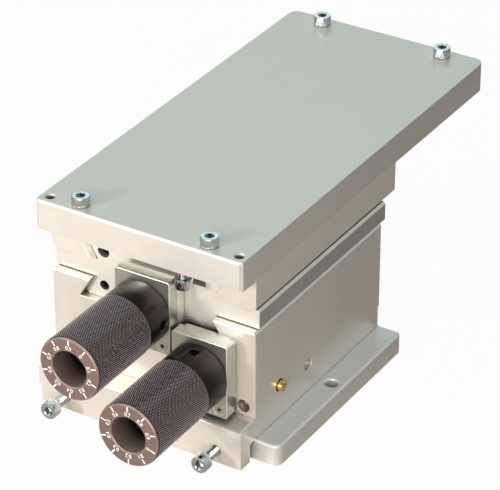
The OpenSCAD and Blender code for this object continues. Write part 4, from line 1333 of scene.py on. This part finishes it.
@dataclass(frozen=True)
class Studio:
    """Pale floor, even room light, soft lamps and the camera.

    A small key lamp low on the left casts the soft shadows, two large ones fill from the front,
    one lights the left rims and one comes from behind. What the camera sees of floor and room
    has seen in its name, and what the metal mirrors of them has mirrored.
    """

    azimuth: float = math.radians(31.543)
    elevation: float = math.radians(30.705)
    distance: float = 1.3257
    farthest: float = 20.0
    target: Point = (0.0118, 0.0085, 0.0673)
    lens: float = 203.2
    sensor: float = 36.0
    floor_size: float = 6.0
    paper: Colour = (0.66, 0.60, 0.53)
    floor_seen: float = 0.97
    floor_mirrored: float = 0.06
    room_tint: Colour = (0.86, 1.0, 0.97)
    room_seen: Colour = (1.0, 1.0, 1.0)
    room_light: float = 0.05
    room_mirrored: float = 0.64
    lamps: tuple[Softbox, ...] = (
        Softbox("key", 24.0, 15.0, 1.6, 0.25, 15.5, (1.0, 0.97, 0.93)),
        Softbox("front", -8.0, 12.0, 1.6, 1.0, 13.5, (1.0, 0.93, 0.89)),
        Softbox("right", -28.0, 12.0, 1.6, 1.0, 12.5, (1.0, 0.93, 0.89)),
        Softbox("rim", 41.0, 46.0, 1.6, 0.5, 2.2, (1.0, 0.98, 0.95)),
        Softbox("back", 148.0, 36.0, 1.8, 1.2, 2.2, (0.84, 1.0, 0.98)),
    )

    def build(self) -> None:
        """Builds floor, world, lamps and camera."""
        bpy.context.scene.view_settings.view_transform = "Standard"
        self._floor()
        self._world()
        for lamp in self.lamps:
            lamp.hang(self.target)
        self._camera()

    def _camera(self) -> None:
        """Places the camera where the photograph was taken from."""
        data = bpy.data.cameras.new("camera")
        data.lens, data.sensor_width, data.clip_end = self.lens, self.sensor, self.farthest
        camera = linked("camera", data)
        aim(camera, self.target, outwards(self.azimuth, self.elevation), self.distance)
        bpy.context.scene.camera = camera

    def _floor(self) -> None:
        """Lays the floor, white to the camera and pale to the lamps."""
        half = self.floor_size / 2.0
        data = bpy.data.meshes.new("floor")
        data.from_pydata([(-half, -half, 0.0), (half, -half, 0.0), (half, half, 0.0),
                          (-half, half, 0.0)], [], [(0, 1, 2, 3)])
        data.materials.append(self._floor_paper())
        floor = linked("floor", data)

    def _floor_paper(self) -> bpy.types.Material:
        """Makes the floor's paper.

        Returns:
            The material: it shines by itself to the camera and faintly to mirrored rays.
        """
        look = Look("floor_paper")
        look.tree.nodes.remove(look.tree.nodes["Principled BSDF"])
        ray = look.node("LightPath").outputs
        seen = look.math("MULTIPLY", ray["Is Camera Ray"], self.floor_seen)
        seen = look.math("MULTIPLY_ADD", ray["Is Glossy Ray"], self.floor_mirrored, seen)
        glow = look.math("MAXIMUM", ray["Is Transmission Ray"], seen)
        paper = look.node("BsdfDiffuse", {"Color": self.paper}).outputs[0]
        mixed = look.node("MixShader", {0: glow, 1: paper, 2: look.node("Emission").outputs[0]})
        look.feed(look.tree.nodes["Material Output"].inputs["Surface"], mixed.outputs[0])
        return look.material

    def _world(self) -> None:
        """Sets a soft even light that the camera sees as white."""
        world = bpy.data.worlds.new("studio")
        world.use_nodes = True
        bpy.context.scene.world = world
        room = Nodes(world.node_tree)
        sky = room.tree.nodes["Background"].inputs
        ray = room.node("LightPath").outputs
        seen = room.math("MAXIMUM", ray["Is Camera Ray"], ray["Is Transmission Ray"])
        light = room.math("MULTIPLY_ADD", seen, 1.0 - self.room_light, self.room_light)
        light = room.math("MULTIPLY_ADD", ray["Is Glossy Ray"], self.room_mirrored, light)
        room.feed(sky["Color"], room.mix(seen, self.room_tint, self.room_seen))
        room.feed(sky["Strength"], light)


def main() -> None:
    """Builds the table, sub-assembly by sub-assembly, and the studio round it."""
    logging.basicConfig(level=logging.INFO, format="%(name)s %(message)s")
    for assembly in (FixedBody(), Spindle(Level.LOWER, first_mark=-18.0, set_angle=85.0),
                     Saddle(), Spindle(Level.UPPER, first_mark=54.0, set_angle=0.0),
                     TopSlide(), Studio()):
        assembly.build()


if __name__ == "__main__":
    main()
